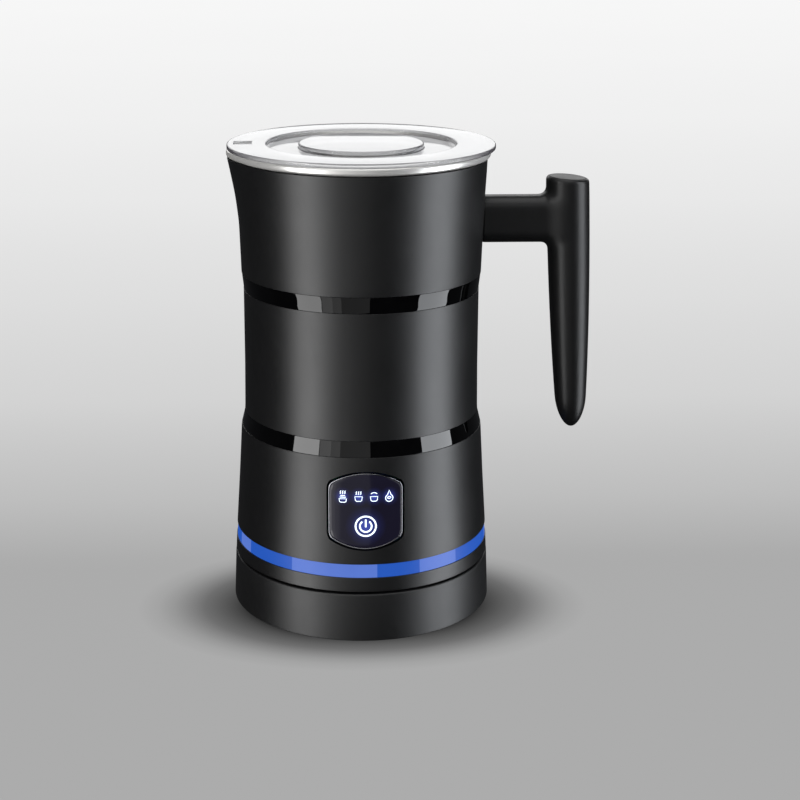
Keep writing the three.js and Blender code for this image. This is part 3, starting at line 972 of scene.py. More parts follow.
@dataclass
class PowerBase:
    """The round cordless base that the jug stands on."""

    body: str = "power_base"
    wall: float = 2.2
    deck: float = 2.1
    hole: float = 14.3
    foot_radius: float = 5.5

    def build(self) -> None:
        """Model and fit every piece of the base."""
        self.shell()
        self.floor()
        self.socket()
        self.feet()
        self.screws()
        self.gland()

    def shell(self) -> None:
        """Model the satin shell: a slightly tapering side and a deck with a shallow step."""
        low, high = low_z("base_shell"), high_z("base_shell")
        wide = half_depth("base_shell")
        narrow = wide - 1
        under = high - self.deck
        piece = spun("base_shell_skin", [
            (wide - 0.1, low, 0.4), (narrow + 0.05, high, 0.9), (narrow - 5, high),
            (narrow - 5.5, high - 0.4), (self.hole + 4, high - 0.4), (self.hole + 3.4, high),
            (self.hole, high, 0.3), (self.hole, under), (narrow - self.wall, under),
            (wide - self.wall, low),
        ], ring=True)
        hole = cylinder("gland_bore", 4.7, 20, at(0, wide - 4, box_middle("cord_gland").z / MM),
                        (90, 0, 0))
        carve(piece, hole)
        coat = Grained("base_satin", (0.0026, 0.0026, 0.0028), 0.46, depth=0.0045).material()
        fit(piece, self.body, Finish.SATIN_BLACK, ["base_shell"], 28, coat)

    def floor(self) -> None:
        """Model the floor plate with a shallow rim, and vents round the middle."""
        low, high, wide = low_z("base_floor"), high_z("base_floor"), half_depth("base_floor")
        piece = spun("base_floor_plate", [
            (0, low + 0.5), (wide - 12, low + 0.5), (wide - 12.6, low), (wide, low, 0.3),
            (wide, high), (0, high),
        ], MEDIUM)
        slots = []
        for i in range(9):
            angle = math.tau * i / 9
            slot = block(f"vent_{i}", (9, 1.8, 6), Vector((0, 0, 0)))
            soften(slot, 0.8, 3)
            slot.rotation_euler.z = angle
            slot.location = at(18 * math.cos(angle), 18 * math.sin(angle), low + 1)
            slots.append(settle(slot))
        carve(piece, merged("vents", slots))
        fit(piece, self.body, Finish.MATTE_BLACK, ["base_floor"])

    def socket(self) -> None:
        """Model the round socket that stands up through the deck, and its contact ring."""
        top = high_z("base_socket")
        deck = high_z("base_shell")
        foot = low_z("base_socket")
        radius = 10.5
        groove = top - 2.4
        piece = spun("socket_post", [
            (0, foot), (17, foot), (17, foot + 4.7, 0.3), (14, foot + 4.7), (14, deck + 0.4, 0.5),
            (radius + 0.6, deck + 0.4, 0.5), (radius, deck + 2, 0.5), (radius, top, 1.0),
            (7.3, top, 0.2), (7.3, groove), (4.7, groove), (4.7, top, 0.2), (1.7, top, 0.3),
            (1.7, top - 7), (0, top - 7),
        ], MEDIUM)
        fit(piece, self.body, Finish.MATTE_BLACK, ["base_socket"])
        low, high = low_z("base_contact"), high_z("base_contact")
        contact = spun("contact_ring", [
            (5, low), (7, low), (7, high, 0.4), (5, high, 0.4),
        ], MEDIUM, ring=True)
        fit(contact, self.body, Finish.CONTACT_BRASS, ["base_contact"])

    def feet(self) -> None:
        """Model one rubber foot with a domed edge and a ribbed sole, and copy it."""
        top = high_z("base_foot_1")
        r = self.foot_radius
        start = box_middle("base_foot_1")
        ribs = [(1.2, 0), (1.3, 0.25), (2.1, 0.25), (2.2, 0), (3.4, 0), (3.5, 0.25), (4.3, 0.25),
                (4.4, 0)]
        first = spun("rubber_foot_1", [
            (0, 0), *ribs, (r - 0.1, 0, 0.4), (r, top, 0.3), (0, top),
        ], SMALL, middle=((start.x - AXIS_X) / MM, start.y / MM))
        fit(first, self.body, Finish.FOOT_RUBBER, ["base_foot_1"])
        for i in (2, 3, 4):
            move = box_middle(f"base_foot_{i}") - start
            foot = copied(first, f"rubber_foot_{i}", Vector((move.x, move.y, 0)))
            fit(foot, self.body, Finish.FOOT_RUBBER, [f"base_foot_{i}"])

    def screws(self) -> None:
        """Model one cross-head screw and copy it for the base and the jug's bottom."""
        first = CrossScrew().model("base_fixing_1", "base_screw_1")
        fit(first, self.body, Finish.BRIGHT_STEEL, ["base_screw_1"])
        others = [(self.body, "base", 2), (self.body, "base", 3)]
        others += [("jug", "jug", i) for i in (1, 2, 3)]
        for body, family, i in others:
            node = f"{family}_screw_{i}"
            move = box_middle(node) - box_middle("base_screw_1")
            twin = copied(first, f"{family}_fixing_{i}", move)
            fit(twin, body, Finish.BRIGHT_STEEL, [node])

    def gland(self) -> None:
        """Model the rubber bush in the back of the base that a lead would pass through."""
        low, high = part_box("cord_gland")
        middle = box_middle("cord_gland")
        outer, inner = (high.x - low.x) / 2 / MM, 2.4
        depth = (high.y - low.y) / MM
        piece = spun("cord_bush", [
            (inner, 0, 0.5), (outer, 0, 0.3), (outer, depth - 0.2, 0.3),
            (outer - 0.9, depth, 0.3), (inner + 0.6, depth, 0.5), (inner, depth - 0.8),
        ], SMALL, ring=True)
        pick(piece)
        piece.location = Vector((-AXIS_X, 0, 0))
        settle(piece)
        piece.rotation_euler.x = -math.pi / 2
        piece.location = Vector((AXIS_X, low.y, middle.z))
        fit(piece, self.body, Finish.FOOT_RUBBER, ["cord_gland"])


@dataclass
class CrossScrew:
    """A small pan-head screw with a cross recess, its head down."""

    head: float = 2.9
    head_height: float = 1.5
    shank: float = 1.4
    thread_pitch: float = 1.0

    def model(self, name: str, node: str) -> bpy.types.Object:
        """Model the screw where a CAD node stands.

        Args:
            name: The new piece's name.
            node: The CAD screw.

        Returns:
            The piece, not yet fitted.
        """
        middle = box_middle(node)
        low, high = low_z(node), high_z(node)
        thread = []
        z = low + self.head_height + 1
        while z < high - 2:
            thread += [(self.shank - 0.3, z), (self.shank, z + self.thread_pitch / 2)]
            z += self.thread_pitch
        piece = spun(name, [
            (0, low), (self.head - 0.9, low, 0.4), (self.head, low + self.head_height - 0.3, 0.3),
            (self.head, low + self.head_height), (self.shank, low + self.head_height),
            *thread, (self.shank - 0.3, high - 1.4), (0, high),
        ], SMALL, middle=((middle.x - AXIS_X) / MM, middle.y / MM))
        foot = Vector((middle.x, middle.y, low * MM))
        bars = [block("recess_a", (3, 0.6, 1.4), foot), block("recess_b", (0.6, 3, 1.4), foot)]
        carve(bars[0], bars[1], "UNION")
        carve(piece, bars[0])
        return piece


@dataclass
class JugShells:
    """The jug's outer shells: skirt, light ring, housing, bands, waist and upper shell."""

    body: str = "jug"
    wall: float = 2.1
    upper_wall: float = 1.6
    seam: float = 0.03  # half of the hairline between neighbouring shells
    band_inset: float = 0.12
    light_inset: float = 0.3
    spout_reach: float = 3.2
    panel: "TouchPanel" = field(default_factory=lambda: TouchPanel())

    def build(self) -> None:
        """Model and fit every shell."""
        cuts = [low_z("jug_skirt")]
        order = ["jug_skirt", "light_ring", "lower_housing", "lower_band", "waist_sleeve",
                 "upper_band", "upper_shell"]
        for lower, upper in zip(order, order[1:]):
            cuts.append((high_z(lower) + low_z(upper)) / 2)
        cuts.append(high_z("upper_shell"))
        spans = dict(zip(order, zip(cuts, cuts[1:])))
        plain = [("jug_skirt", Finish.SATIN_BLACK, 0), ("waist_sleeve", Finish.SATIN_BLACK, 0),
                 ("lower_band", Finish.GLOSS_BLACK, self.band_inset),
                 ("upper_band", Finish.GLOSS_BLACK, self.band_inset),
                 ("light_ring", Finish.BLUE_LIGHT, self.light_inset)]
        duller = Polished("upper_band_gloss", (0.0004, 0.0004, 0.0005), specular=0.36).material()
        for node, finish, inset in plain:
            piece = self.shell(node, *spans[node], self.wall, inset)
            own = duller if node == "upper_band" else None
            fit(piece, self.body, finish, [node], 40, own)
        upper = self.shell("upper_shell", *spans["upper_shell"], self.upper_wall, 0)
        reshape(upper, CONTOUR.spout(self.spout_reach))
        fit(upper, self.body, Finish.SATIN_BLACK, ["upper_shell"], 40)
        housing = self.shell("lower_housing", *spans["lower_housing"], self.wall, 0)
        carve(housing, self.panel.cutter())
        fit(housing, self.body, Finish.SATIN_BLACK, ["lower_housing"], 30)
        self.panel.build()

    def shell(
        self, node: str, bottom: float, top: float, wall: float, inset: float,
    ) -> bpy.types.Object:
        """Model one shell between two seams.

        Args:
            node: The CAD node that it stands for.
            bottom: The seam below it.
            top: The seam above it.
            wall: Its thickness.
            inset: How far it lies under the contour.

        Returns:
            The piece, not yet fitted.
        """
        gap = self.seam
        outline = CONTOUR.wall(bottom + gap, top - gap, wall, inset)
        return spun(f"{node}_skin", outline, ring=True)


@dataclass
class TouchPanel:
    """The shield-shaped touch panel: a black lens in a thin bright bezel, with lit symbols."""

    body: str = "jug"
    half_width: float = 15.4
    half_height: float = 16.3
    arc_rise: float = 5
    corner: float = 2.4
    gap: float = 0.5
    groove: float = 0.3  # how far the bezel stays clear of the opening
    bezel_width: float = 0.4
    lens_gap: float = 0.1
    lens_fall: float = 0.24  # how far the lens drops towards its sides
    lens_fall_width: float = 3.0
    icon_height: float = 6.2  # of the symbols' middles over the panel's middle
    icon_stroke: float = 0.17
    power_height: float = -6.2
    power_stroke: float = 0.34
    icon_columns: tuple[float, ...] = (-9.3, -2.9, 3.4, 9.6)
    middle: float = field(default_factory=lambda: box_middle("panel_lens").z / MM)

    def outline(self, inset: float) -> list[tuple[float, float]]:
        """Return the shield's outline, straight sides with arched top and bottom.

        Args:
            inset: How far inside the panel's edge it runs.

        Returns:
            (x, z) points in millimetres, anticlockwise from the lower left.
        """
        half, high = self.half_width - inset, self.half_height - inset
        radius = (half**2 + self.arc_rise**2) / (2 * self.arc_rise)
        swing, steps = math.asin(half / radius), 20
        turns = [swing * (1 - 2 * i / steps) for i in range(steps + 1)]
        top = [(radius * math.sin(t), high - radius + radius * math.cos(t)) for t in turns]
        bottom = [(-x, -z) for x, z in top]
        return [(x, z + self.middle) for x, z in bottom + top]

    def slab(self, name: str, inset: float, front: float, thick: float) -> bpy.types.Object:
        """Model a flat shield-shaped slab in front of the jug's middle plane.

        Args:
            name: The new object's name.
            inset: How far inside the panel's edge its side runs.
            front: Depth of its front face; negative is proud of the contour.
            thick: Its thickness.

        Returns:
            The slab, flat, in object mode.
        """
        points = [at(x, front + thick, z) for x, z in self.outline(inset)]
        piece = traced(name, [*points, points[0]])
        bpy.ops.mesh.edge_face_add()
        bpy.ops.mesh.select_all(action="DESELECT")
        bpy.ops.object.mode_set(mode="OBJECT")
        half = (self.half_width - inset) * MM
        for vertex in piece.data.vertices:
            vertex.select = abs(abs(vertex.co.x - AXIS_X) - half) < WELD
        bpy.ops.object.mode_set(mode="EDIT")
        bpy.ops.mesh.select_mode(type="VERT")
        bpy.ops.mesh.bevel(
            offset=max(self.corner - inset, 0.5) * MM, segments=6, affect="VERTICES")
        bpy.ops.mesh.select_all(action="SELECT")
        move = {"value": (0, -thick * MM, 0)}
        bpy.ops.mesh.extrude_region_move(TRANSFORM_OT_translate=move)
        bpy.ops.mesh.select_all(action="SELECT")
        bpy.ops.mesh.normals_make_consistent(inside=False)
        bpy.ops.object.mode_set(mode="OBJECT")
        return piece

    def sliced(self, piece: bpy.types.Object, spacing: float) -> None:
        """Cut a flat piece into upright strips and level rows, so that it can be wrapped.

        Args:
            piece: The flat piece.
            spacing: Width of a strip in millimetres.
        """
        pick(piece)
        bpy.ops.object.mode_set(mode="EDIT")
        across = int(self.half_width / spacing)
        for i in range(-across, across + 1):
            bpy.ops.mesh.select_all(action="SELECT")
            bpy.ops.mesh.bisect(plane_co=at(i * spacing, 0, 0), plane_no=(1, 0, 0))
        for i in range(-3, 4):
            bpy.ops.mesh.select_all(action="SELECT")
            bpy.ops.mesh.bisect(plane_co=at(0, 0, self.middle + i * 4), plane_no=(0, 0, 1))
        bpy.ops.object.mode_set(mode="OBJECT")

    @staticmethod
    def wrap(place: Vector) -> Vector:
        """Lay a corner of a flat piece on the jug's round side."""
        radius = CONTOUR.radius(place.z)
        return Vector((place.x, place.y - math.sqrt(radius**2 - place.x**2), place.z))

    def cutter(self) -> bpy.types.Object:
        """Return the solid that cuts the panel's opening in the housing."""
        return self.slab("panel_cutter", -self.gap, -62, 30)

    def build(self) -> None:
        """Model and fit the bezel, the lens and the lit symbols."""
        edge = self.groove
        bezel = self.slab("panel_bezel_ring", edge, -0.12, 2.2)
        carve(bezel, self.slab("bezel_window", edge + self.bezel_width, -5, 10))
        soften(bezel, 0.15, 3, 60)
        self.sliced(bezel, 1.0)
        reshape(bezel, self.wrap)
        dark = TurnedMetal("panel_bezel_steel", (0.26, 0.26, 0.28), 0.22).material()
        fit(bezel, self.body, Finish.BRIGHT_STEEL, ["panel_bezel"], 40, dark)

        lens = self.slab("panel_glass", edge + self.bezel_width + self.lens_gap, -0.05, 1.6)
        soften(lens, 0.3, 3, 60)
        self.sliced(lens, 0.5)
        reshape(lens, self.fall)
        reshape(lens, self.wrap)
        halos = [Halo(0, self.middle + self.power_height, 8.5)]
        halos += [Halo(x, self.middle + self.icon_height, 4.2) for x in self.icon_columns]
        glass = Polished(
            "panel_gloss", (0.002, 0.002, 0.004), 0.11, specular=0.3, halos=tuple(halos)).material()
        fit(lens, self.body, Finish.GLOSS_BLACK, ["panel_lens"], 40, glass)

        white = Lamp("symbol_light", (0.72, 0.86, 1.0), 1.35).material()
        fit(self.icons(), self.body, Finish.GLOSS_BLACK, material=white)
        fit(self.power(), self.body, Finish.GLOSS_BLACK, material=white)

    def fall(self, place: Vector) -> Vector:
        """Let the lens drop towards its left and right sides.

        Args:
            place: A corner of the flat lens.

        Returns:
            Its new place.
        """
        start = self.half_width - self.groove - self.bezel_width - self.lens_fall_width
        share = max(abs(place.x) - start, 0) / self.lens_fall_width
        return Vector((place.x, place.y + self.lens_fall * share**2, place.z))

    def stroke(
        self, name: str, points: Sequence[tuple[float, float]], radius: float, x: float, z: float,
    ) -> bpy.types.Object:
        """Model one stroke of a symbol as a thin raised bead.

        Args:
            name: The new object's name.
            points: The stroke's (x, z) points, in millimetres from the symbol's middle.
            radius: Half of the stroke's width.
            x: The symbol's middle, from the panel's middle.
            z: The symbol's middle, over the panel's middle.

        Returns:
            The stroke, still flat.
        """
        places = [at(x + px, 0, self.middle + z + pz) for px, pz in points]
        piece = traced(name, places)
        bpy.ops.object.mode_set(mode="OBJECT")
        bpy.ops.object.convert(target="CURVE")
        curve = bpy.context.active_object
        curve.data.bevel_depth = radius * MM
        curve.data.bevel_resolution = 2
        curve.data.use_fill_caps = True
        bpy.ops.object.convert(target="MESH")
        return named(name)

    @staticmethod
    def arc(
        radius: float, first: float, last: float, squash: float = 1, z: float = 0, steps: int = 14,
    ) -> list[tuple[float, float]]:
        """Trace an arc.

        Args:
            radius: The arc's radius.
            first: Angle where it starts, in degrees from +x towards +z.
            last: Angle where it ends.
            squash: Its height as a share of a round arc's.
            z: Height of its middle.
            steps: How many straight steps it has.

        Returns:
            (x, z) points.
        """
        angles = [math.radians(first + (last - first) * i / steps) for i in range(steps + 1)]
        return [(radius * math.cos(a), z + squash * radius * math.sin(a)) for a in angles]

    def laid(self, name: str, strokes: Sequence[bpy.types.Object]) -> bpy.types.Object:
        """Join a symbol's strokes, flatten them and lay them on the lens.

        Args:
            name: The symbol's name.
            strokes: Its strokes.

        Returns:
            The symbol, not yet fitted.
        """
        piece = merged(name, strokes)
        depth = 0.12  # share of their round thickness that the strokes keep
        reshape(piece, lambda p: Vector((p.x, p.y * depth - 0.1, p.z)))
        reshape(piece, self.wrap)
        return piece

    def icons(self) -> bpy.types.Object:
        """Model the four preset symbols: a frothy cup, two more cups, and a drop with a whirl.

        Returns:
            The symbols as one piece, not yet fitted.
        """
        bowl = [(-1.5, 0), (-1.3, -1.5), (-0.8, -1.95), (0.8, -1.95), (1.3, -1.5), (1.5, 0),
                (-1.5, 0)]
        steam = [(-0.2, 0), (0.12, 0.5), (-0.12, 0.9), (0.2, 1.4)]

        def moved(line: Sequence[tuple[float, float]], x: float, z: float) -> list:
            """Return the line moved by x and z."""
            return [(px + x, pz + z) for px, pz in line]

        def vapour(z: float) -> list:
            """Return three steam marks whose lowest points are at a height."""
            return [moved(steam, x, z) for x in (-0.9, 0, 0.9)]

        squat = [(px, pz * 0.75 - 0.9) for px, pz in bowl]
        froth = [[(-1.25, -0.2), (1.25, -0.2)], [(-0.95, 0.5), (0.95, 0.5)]]
        drop = [(0, 2.5), (0.45, 1.3), *self.arc(1.5, 62, -242, 1, -0.75, 24), (-0.45, 1.3),
                (0, 2.5)]
        whirl = [self.arc(0.75, 190, 10, 0.9, -0.85), (self.arc(0.4, 0, -180, 0.8, -0.75))]
        symbols = [
            [squat, *froth, *vapour(1.15)],
            [moved(bowl, 0, 0.15), *vapour(0.95)],
            [moved(bowl, 0, 0.15), self.arc(1.5, 35, 145, 0.9, 0.45)],
            [drop, *whirl],
        ]
        strokes = []
        for column, lines in zip(self.icon_columns, symbols):
            for i, line in enumerate(lines):
                name = f"icon_stroke_{i}"
                strokes.append(self.stroke(name, line, self.icon_stroke, column, self.icon_height))
        return self.laid("preset_symbols", strokes)

    def power(self) -> bpy.types.Object:
        """Model the ringed power symbol.

        Returns:
            The symbol, not yet fitted.
        """
        ring = self.arc(4.15, 0, 360, steps=48)
        arc = self.arc(2.4, 126, 414, steps=36)
        bar = [(0, 2.9), (0, -0.4)]
        strokes = [
            self.stroke(f"power_stroke_{i}", line, self.power_stroke, 0, self.power_height)
            for i, line in enumerate((ring, arc, bar))
        ]
        return self.laid("power_symbol", strokes)


@dataclass
class Pot:
    """The stainless inner pot with its rolled rim, and the whisk's post on its floor."""

    body: str = "jug"
    radius: float = 44
    wall: float = 1.2
    floor: float = 91
    corner: float = 6
    rim_radius: float = 53.3
    rim_height: float = 3.0
    fill_ridge: float = 0.25  # height of the pressed fill lines
    fill_levels: tuple[float, ...] = (172, 150, 128)
    spout_reach: float = 2.2

    def build(self) -> None:
        """Model and fit the pot and the post."""
        top = high_z("inner_pot")
        roll = top - self.rim_height
        outer, floor = self.radius + self.wall, self.floor
        lines = []
        for level in self.fill_levels:
            lines += [(self.radius, level + 1), (self.radius - self.fill_ridge, level, 0.3),
                      (self.radius, level - 1)]
        piece = spun("pot_wall", [
            (0, floor - self.wall), (outer, floor - self.wall, self.corner), (outer, 180, 6),
            (outer + 2.2, 188, 6), (49.8, roll, 0.5), (self.rim_radius, roll, 1.4),
            (self.rim_radius, top, 1.4), (50.9, top, 1.2), (48.4, 193, 3),
            (self.radius + 2.2, 188, 6), (self.radius, 180, 6), *lines,
            (self.radius, floor, self.corner - 1), (30, floor), (28, floor + 0.3, 1),
            (26, floor), (0, floor),
        ])
        reshape(piece, CONTOUR.spout(self.spout_reach))
        steel = TurnedMetal("pot_steel", (0.73, 0.72, 0.7), 0.3, metallic=0.6).material()
        fit(piece, self.body, Finish.BRIGHT_STEEL, ["inner_pot"], 40, steel)
        low, high = low_z("whisk_post"), high_z("whisk_post")
        post = spun("whisk_post_pin", [
            (0, low), (1.5, low), (1.5, high - 1), (1.1, high, 0.5), (0, high),
        ], SMALL)
        fit(post, self.body, Finish.BRIGHT_STEEL, ["whisk_post"])


@dataclass
class Handle:
    """The T-shaped handle: a level arm, an upright tapering grip and a flat cap."""

    body: str = "jug"
    half: float = 9.0
    taper: float = 3.1
    depth_share: float = 0.99
    foot_x: float = 91
    top_x: float = 85.7
    tip: float = 14
    tilt: float = 4
    arm_half_depth: float = 7.0
    arm_round: float = 5.6
    arm_start: float = 50.2  # just inside the jug's shell
    arm_end: float = 84
    arm_short: float = 4  # how far short of the grip's middle the arm begins to round off
    fillet: float = 3.4
    junction: tuple[float, float] = (-16, 6)  # where the fillet may reach, from the grip's middle
    voxel: float = 0.55
    bottom: float = field(default_factory=lambda: low_z("handle") - 1.2)
    top: float = 184.4  # height of the flat top at the grip's middle line
    top_round: float = 1.5
    cap_inset: float = 1.25
    cap_thick: float = 2.2
    arm_bottom: float = 157.3
    arm_top: float = 176.9

    @property
    def arm_middle(self) -> float:
        """Return the height of the arm's middle line."""
        return (self.arm_bottom + self.arm_top) / 2

    def half_width(self, z: float) -> float:
        """Return half of the grip's side width.

        Args:
            z: The height.

        Returns:
            The half width, rounded off at the tip and the top.
        """
        rise = min((z - self.bottom) / (self.top - self.bottom), 1)
        tip = min((z - self.bottom) / self.tip, 1)
        body = self.half - self.taper * (1 - rise) ** 2.4
        shoulder = max(z - (self.top - self.top_round), 0) / self.top_round
        rounding = self.top_round * (1 - math.sqrt(max(1 - shoulder**2, 0)))
        return body * math.sqrt(1 - (1 - tip) ** 2) - rounding

    def centre_x(self, z: float) -> float:
        """Return where the grip's middle line is at a height."""
        share = (z - self.bottom) / (self.top - self.bottom)
        return self.foot_x + (self.top_x - self.foot_x) * share

    def lean(self, place: Vector) -> Vector:
        """Slope the top of the grip down towards its outer side.

        Args:
            place: A corner of the handle.

        Returns:
            Its new place.
        """
        start = self.arm_top + 1
        share = max(place.z - start, 0) / (self.top - start)
        fall = math.tan(math.radians(self.tilt)) * (place.x - self.centre_x(self.top))
        return Vector((place.x, place.y, place.z - fall * share))

    def grip(self, name: str, levels: Sequence[float]) -> bpy.types.Object:
        """Model a stretch of the grip by extruding an oval from level to level.

        Args:
            name: The new object's name.
            levels: Heights, from the lowest up.

        Returns:
            The closed solid, in object mode.
        """
        deselect()
        z = levels[0]
        half = self.half_width(z)
        bpy.ops.mesh.primitive_circle_add(
            vertices=64, radius=half * MM, fill_type="NGON", location=at(self.centre_x(z), 0, z))
        piece = named(name)
        bpy.ops.object.mode_set(mode="EDIT")
        bpy.ops.transform.resize(value=(1, self.depth_share, 1))
        for last, z in zip(levels, levels[1:]):
            move = at(self.centre_x(z), 0, z) - at(self.centre_x(last), 0, last)
            bpy.ops.mesh.extrude_region_move(TRANSFORM_OT_translate={"value": tuple(move)})
            grow = self.half_width(z) / self.half_width(last)
            bpy.ops.transform.resize(
                value=(grow, grow, 1), center_override=at(self.centre_x(z), 0, z))
        bpy.ops.mesh.select_all(action="SELECT")
        bpy.ops.mesh.normals_make_consistent(inside=False)
        return settle(piece)

    def plate(self, name: str, gap: float, low: float, high: float) -> bpy.types.Object:
        """Model an oval plate for the cap, or for the recess that it sits in.

        Args:
            name: The new object's name.
            gap: How far its side stays inside the recess.
            low: Height of its underside at the grip's middle line.
            high: Height of its top at the grip's middle line.

        Returns:
            The plate, level, in object mode.
        """
        radius = self.half - self.cap_inset - gap
        deselect()
        bpy.ops.mesh.primitive_cylinder_add(
            vertices=MEDIUM, radius=radius * MM, depth=(high - low) * MM,
            location=at(self.centre_x(self.top), 0, (low + high) / 2))
        piece = named(name)
        bpy.ops.object.mode_set(mode="EDIT")
        bpy.ops.transform.resize(
            value=(1, (self.half * self.depth_share - self.cap_inset - gap) / radius, 1))
        bpy.ops.object.mode_set(mode="OBJECT")
        return settle(piece)

    def arm(self) -> bpy.types.Object:
        """Model the arm from a box with rounded long edges.

        Returns:
            The arm, closed at both ends.
        """
        height = self.arm_top - self.arm_bottom
        size = (self.arm_end - self.arm_start, 2 * self.arm_half_depth, height)
        centre = at((self.arm_start + self.arm_end) / 2, 0, self.arm_middle)
        piece = block("arm_solid", size, centre)
        pick(piece)
        bpy.ops.object.mode_set(mode="EDIT")
        bpy.ops.mesh.select_mode(type="EDGE")
        bpy.ops.mesh.select_all(action="DESELECT")
        bpy.ops.object.mode_set(mode="OBJECT")
        for edge in piece.data.edges:
            a, b = (piece.data.vertices[v].co for v in edge.vertices)
            edge.select = abs(a.x - b.x) > MM
        bpy.ops.object.mode_set(mode="EDIT")
        bpy.ops.mesh.bevel(offset=self.arm_round * MM, segments=10)
        return settle(piece)

    def outside(self, x: float, y: float, z: float) -> float:
        """Return how far a point is outside the grip and the arm, joined by a round fillet.

        Args:
            x: Millimetres from the jug's axis towards the handle.
            y: Millimetres from the handle's middle plane.
            z: Height in millimetres.

        Returns:
            The distance in millimetres, below zero inside.
        """
        grip = math.hypot(x - self.centre_x(z), y / self.depth_share) - self.half_width(z)
        middle = self.arm_middle
        side = abs(y) - (self.arm_half_depth - self.arm_round)
        rise = abs(z - middle) - (self.arm_top - middle - self.arm_round)
        end = x - self.centre_x(middle) + self.arm_short
        beyond = math.hypot(max(side, 0), max(rise, 0), max(end, 0))
        arm = beyond + min(max(side, rise, end), 0) - self.arm_round
        near = math.hypot(max(self.fillet - grip, 0), max(self.fillet - arm, 0))
        return max(self.fillet, min(grip, arm)) - near

    def fillet_rule(self, place: Vector) -> Vector:
        """Move a corner near the junction out onto the round fillet.

        Args:
            place: A corner of the handle.

        Returns:
            Its place on the joined surface, found in a few steps down the slope of outside().
        """
        x, y, z = place
        reach = self.arm_top - self.arm_middle + self.fillet + 1
        inner, outer = self.junction
        if abs(z - self.arm_middle) > reach or not inner <= x - self.centre_x(z) <= outer:
            return place
        step = 0.05
        for _ in range(6):
            gap = self.outside(x, y, z)
            slope = Vector((
                self.outside(x + step, y, z) - gap, self.outside(x, y + step, z) - gap,
                self.outside(x, y, z + step) - gap)) / step
            move = slope * (gap / max(slope.length_squared, 0.3))
            x, y, z = x - move.x, y - move.y, z - move.z
        return Vector((x, y, z))

    def build(self) -> None:
        """Model and fit the handle and its cap."""
        steps = 9
        quarter = [math.pi / 2 * i / steps for i in range(1, steps + 1)]
        tip = [self.bottom + self.tip * (1 - math.cos(turn)) for turn in quarter]
        start, end = self.bottom + self.tip, self.top - self.top_round
        rise = [start + (end - start) * i / 16 for i in range(1, 17)]
        shoulder = [end + self.top_round * math.sin(turn) for turn in quarter]
        grip = self.grip("handle_body", [self.bottom + 0.05, *tip, *rise, *shoulder])
        carve(grip, self.arm(), "UNION")
        apply_modifier(grip, "REMESH", mode="VOXEL", voxel_size=self.voxel * MM)
        reshape(grip, self.fillet_rule)
        apply_modifier(grip, "SMOOTH", factor=0.5, iterations=6)
        reshape(grip, self.lean)
        recess = self.plate("cap_recess", 0, self.top - self.cap_thick, self.top + 2)
        reshape(recess, self.lean)
        carve(grip, recess)
        fit(grip, self.body, Finish.MATTE_BLACK, ["handle"], 40)

        cap = self.plate("handle_cap_disc", 0.1, self.top - self.cap_thick, self.top + 0.05)
        soften(cap, 0.3, 4, 50)
        reshape(cap, self.lean)
        fit(cap, self.body, Finish.MATTE_BLACK, ["handle_cap"], 30)


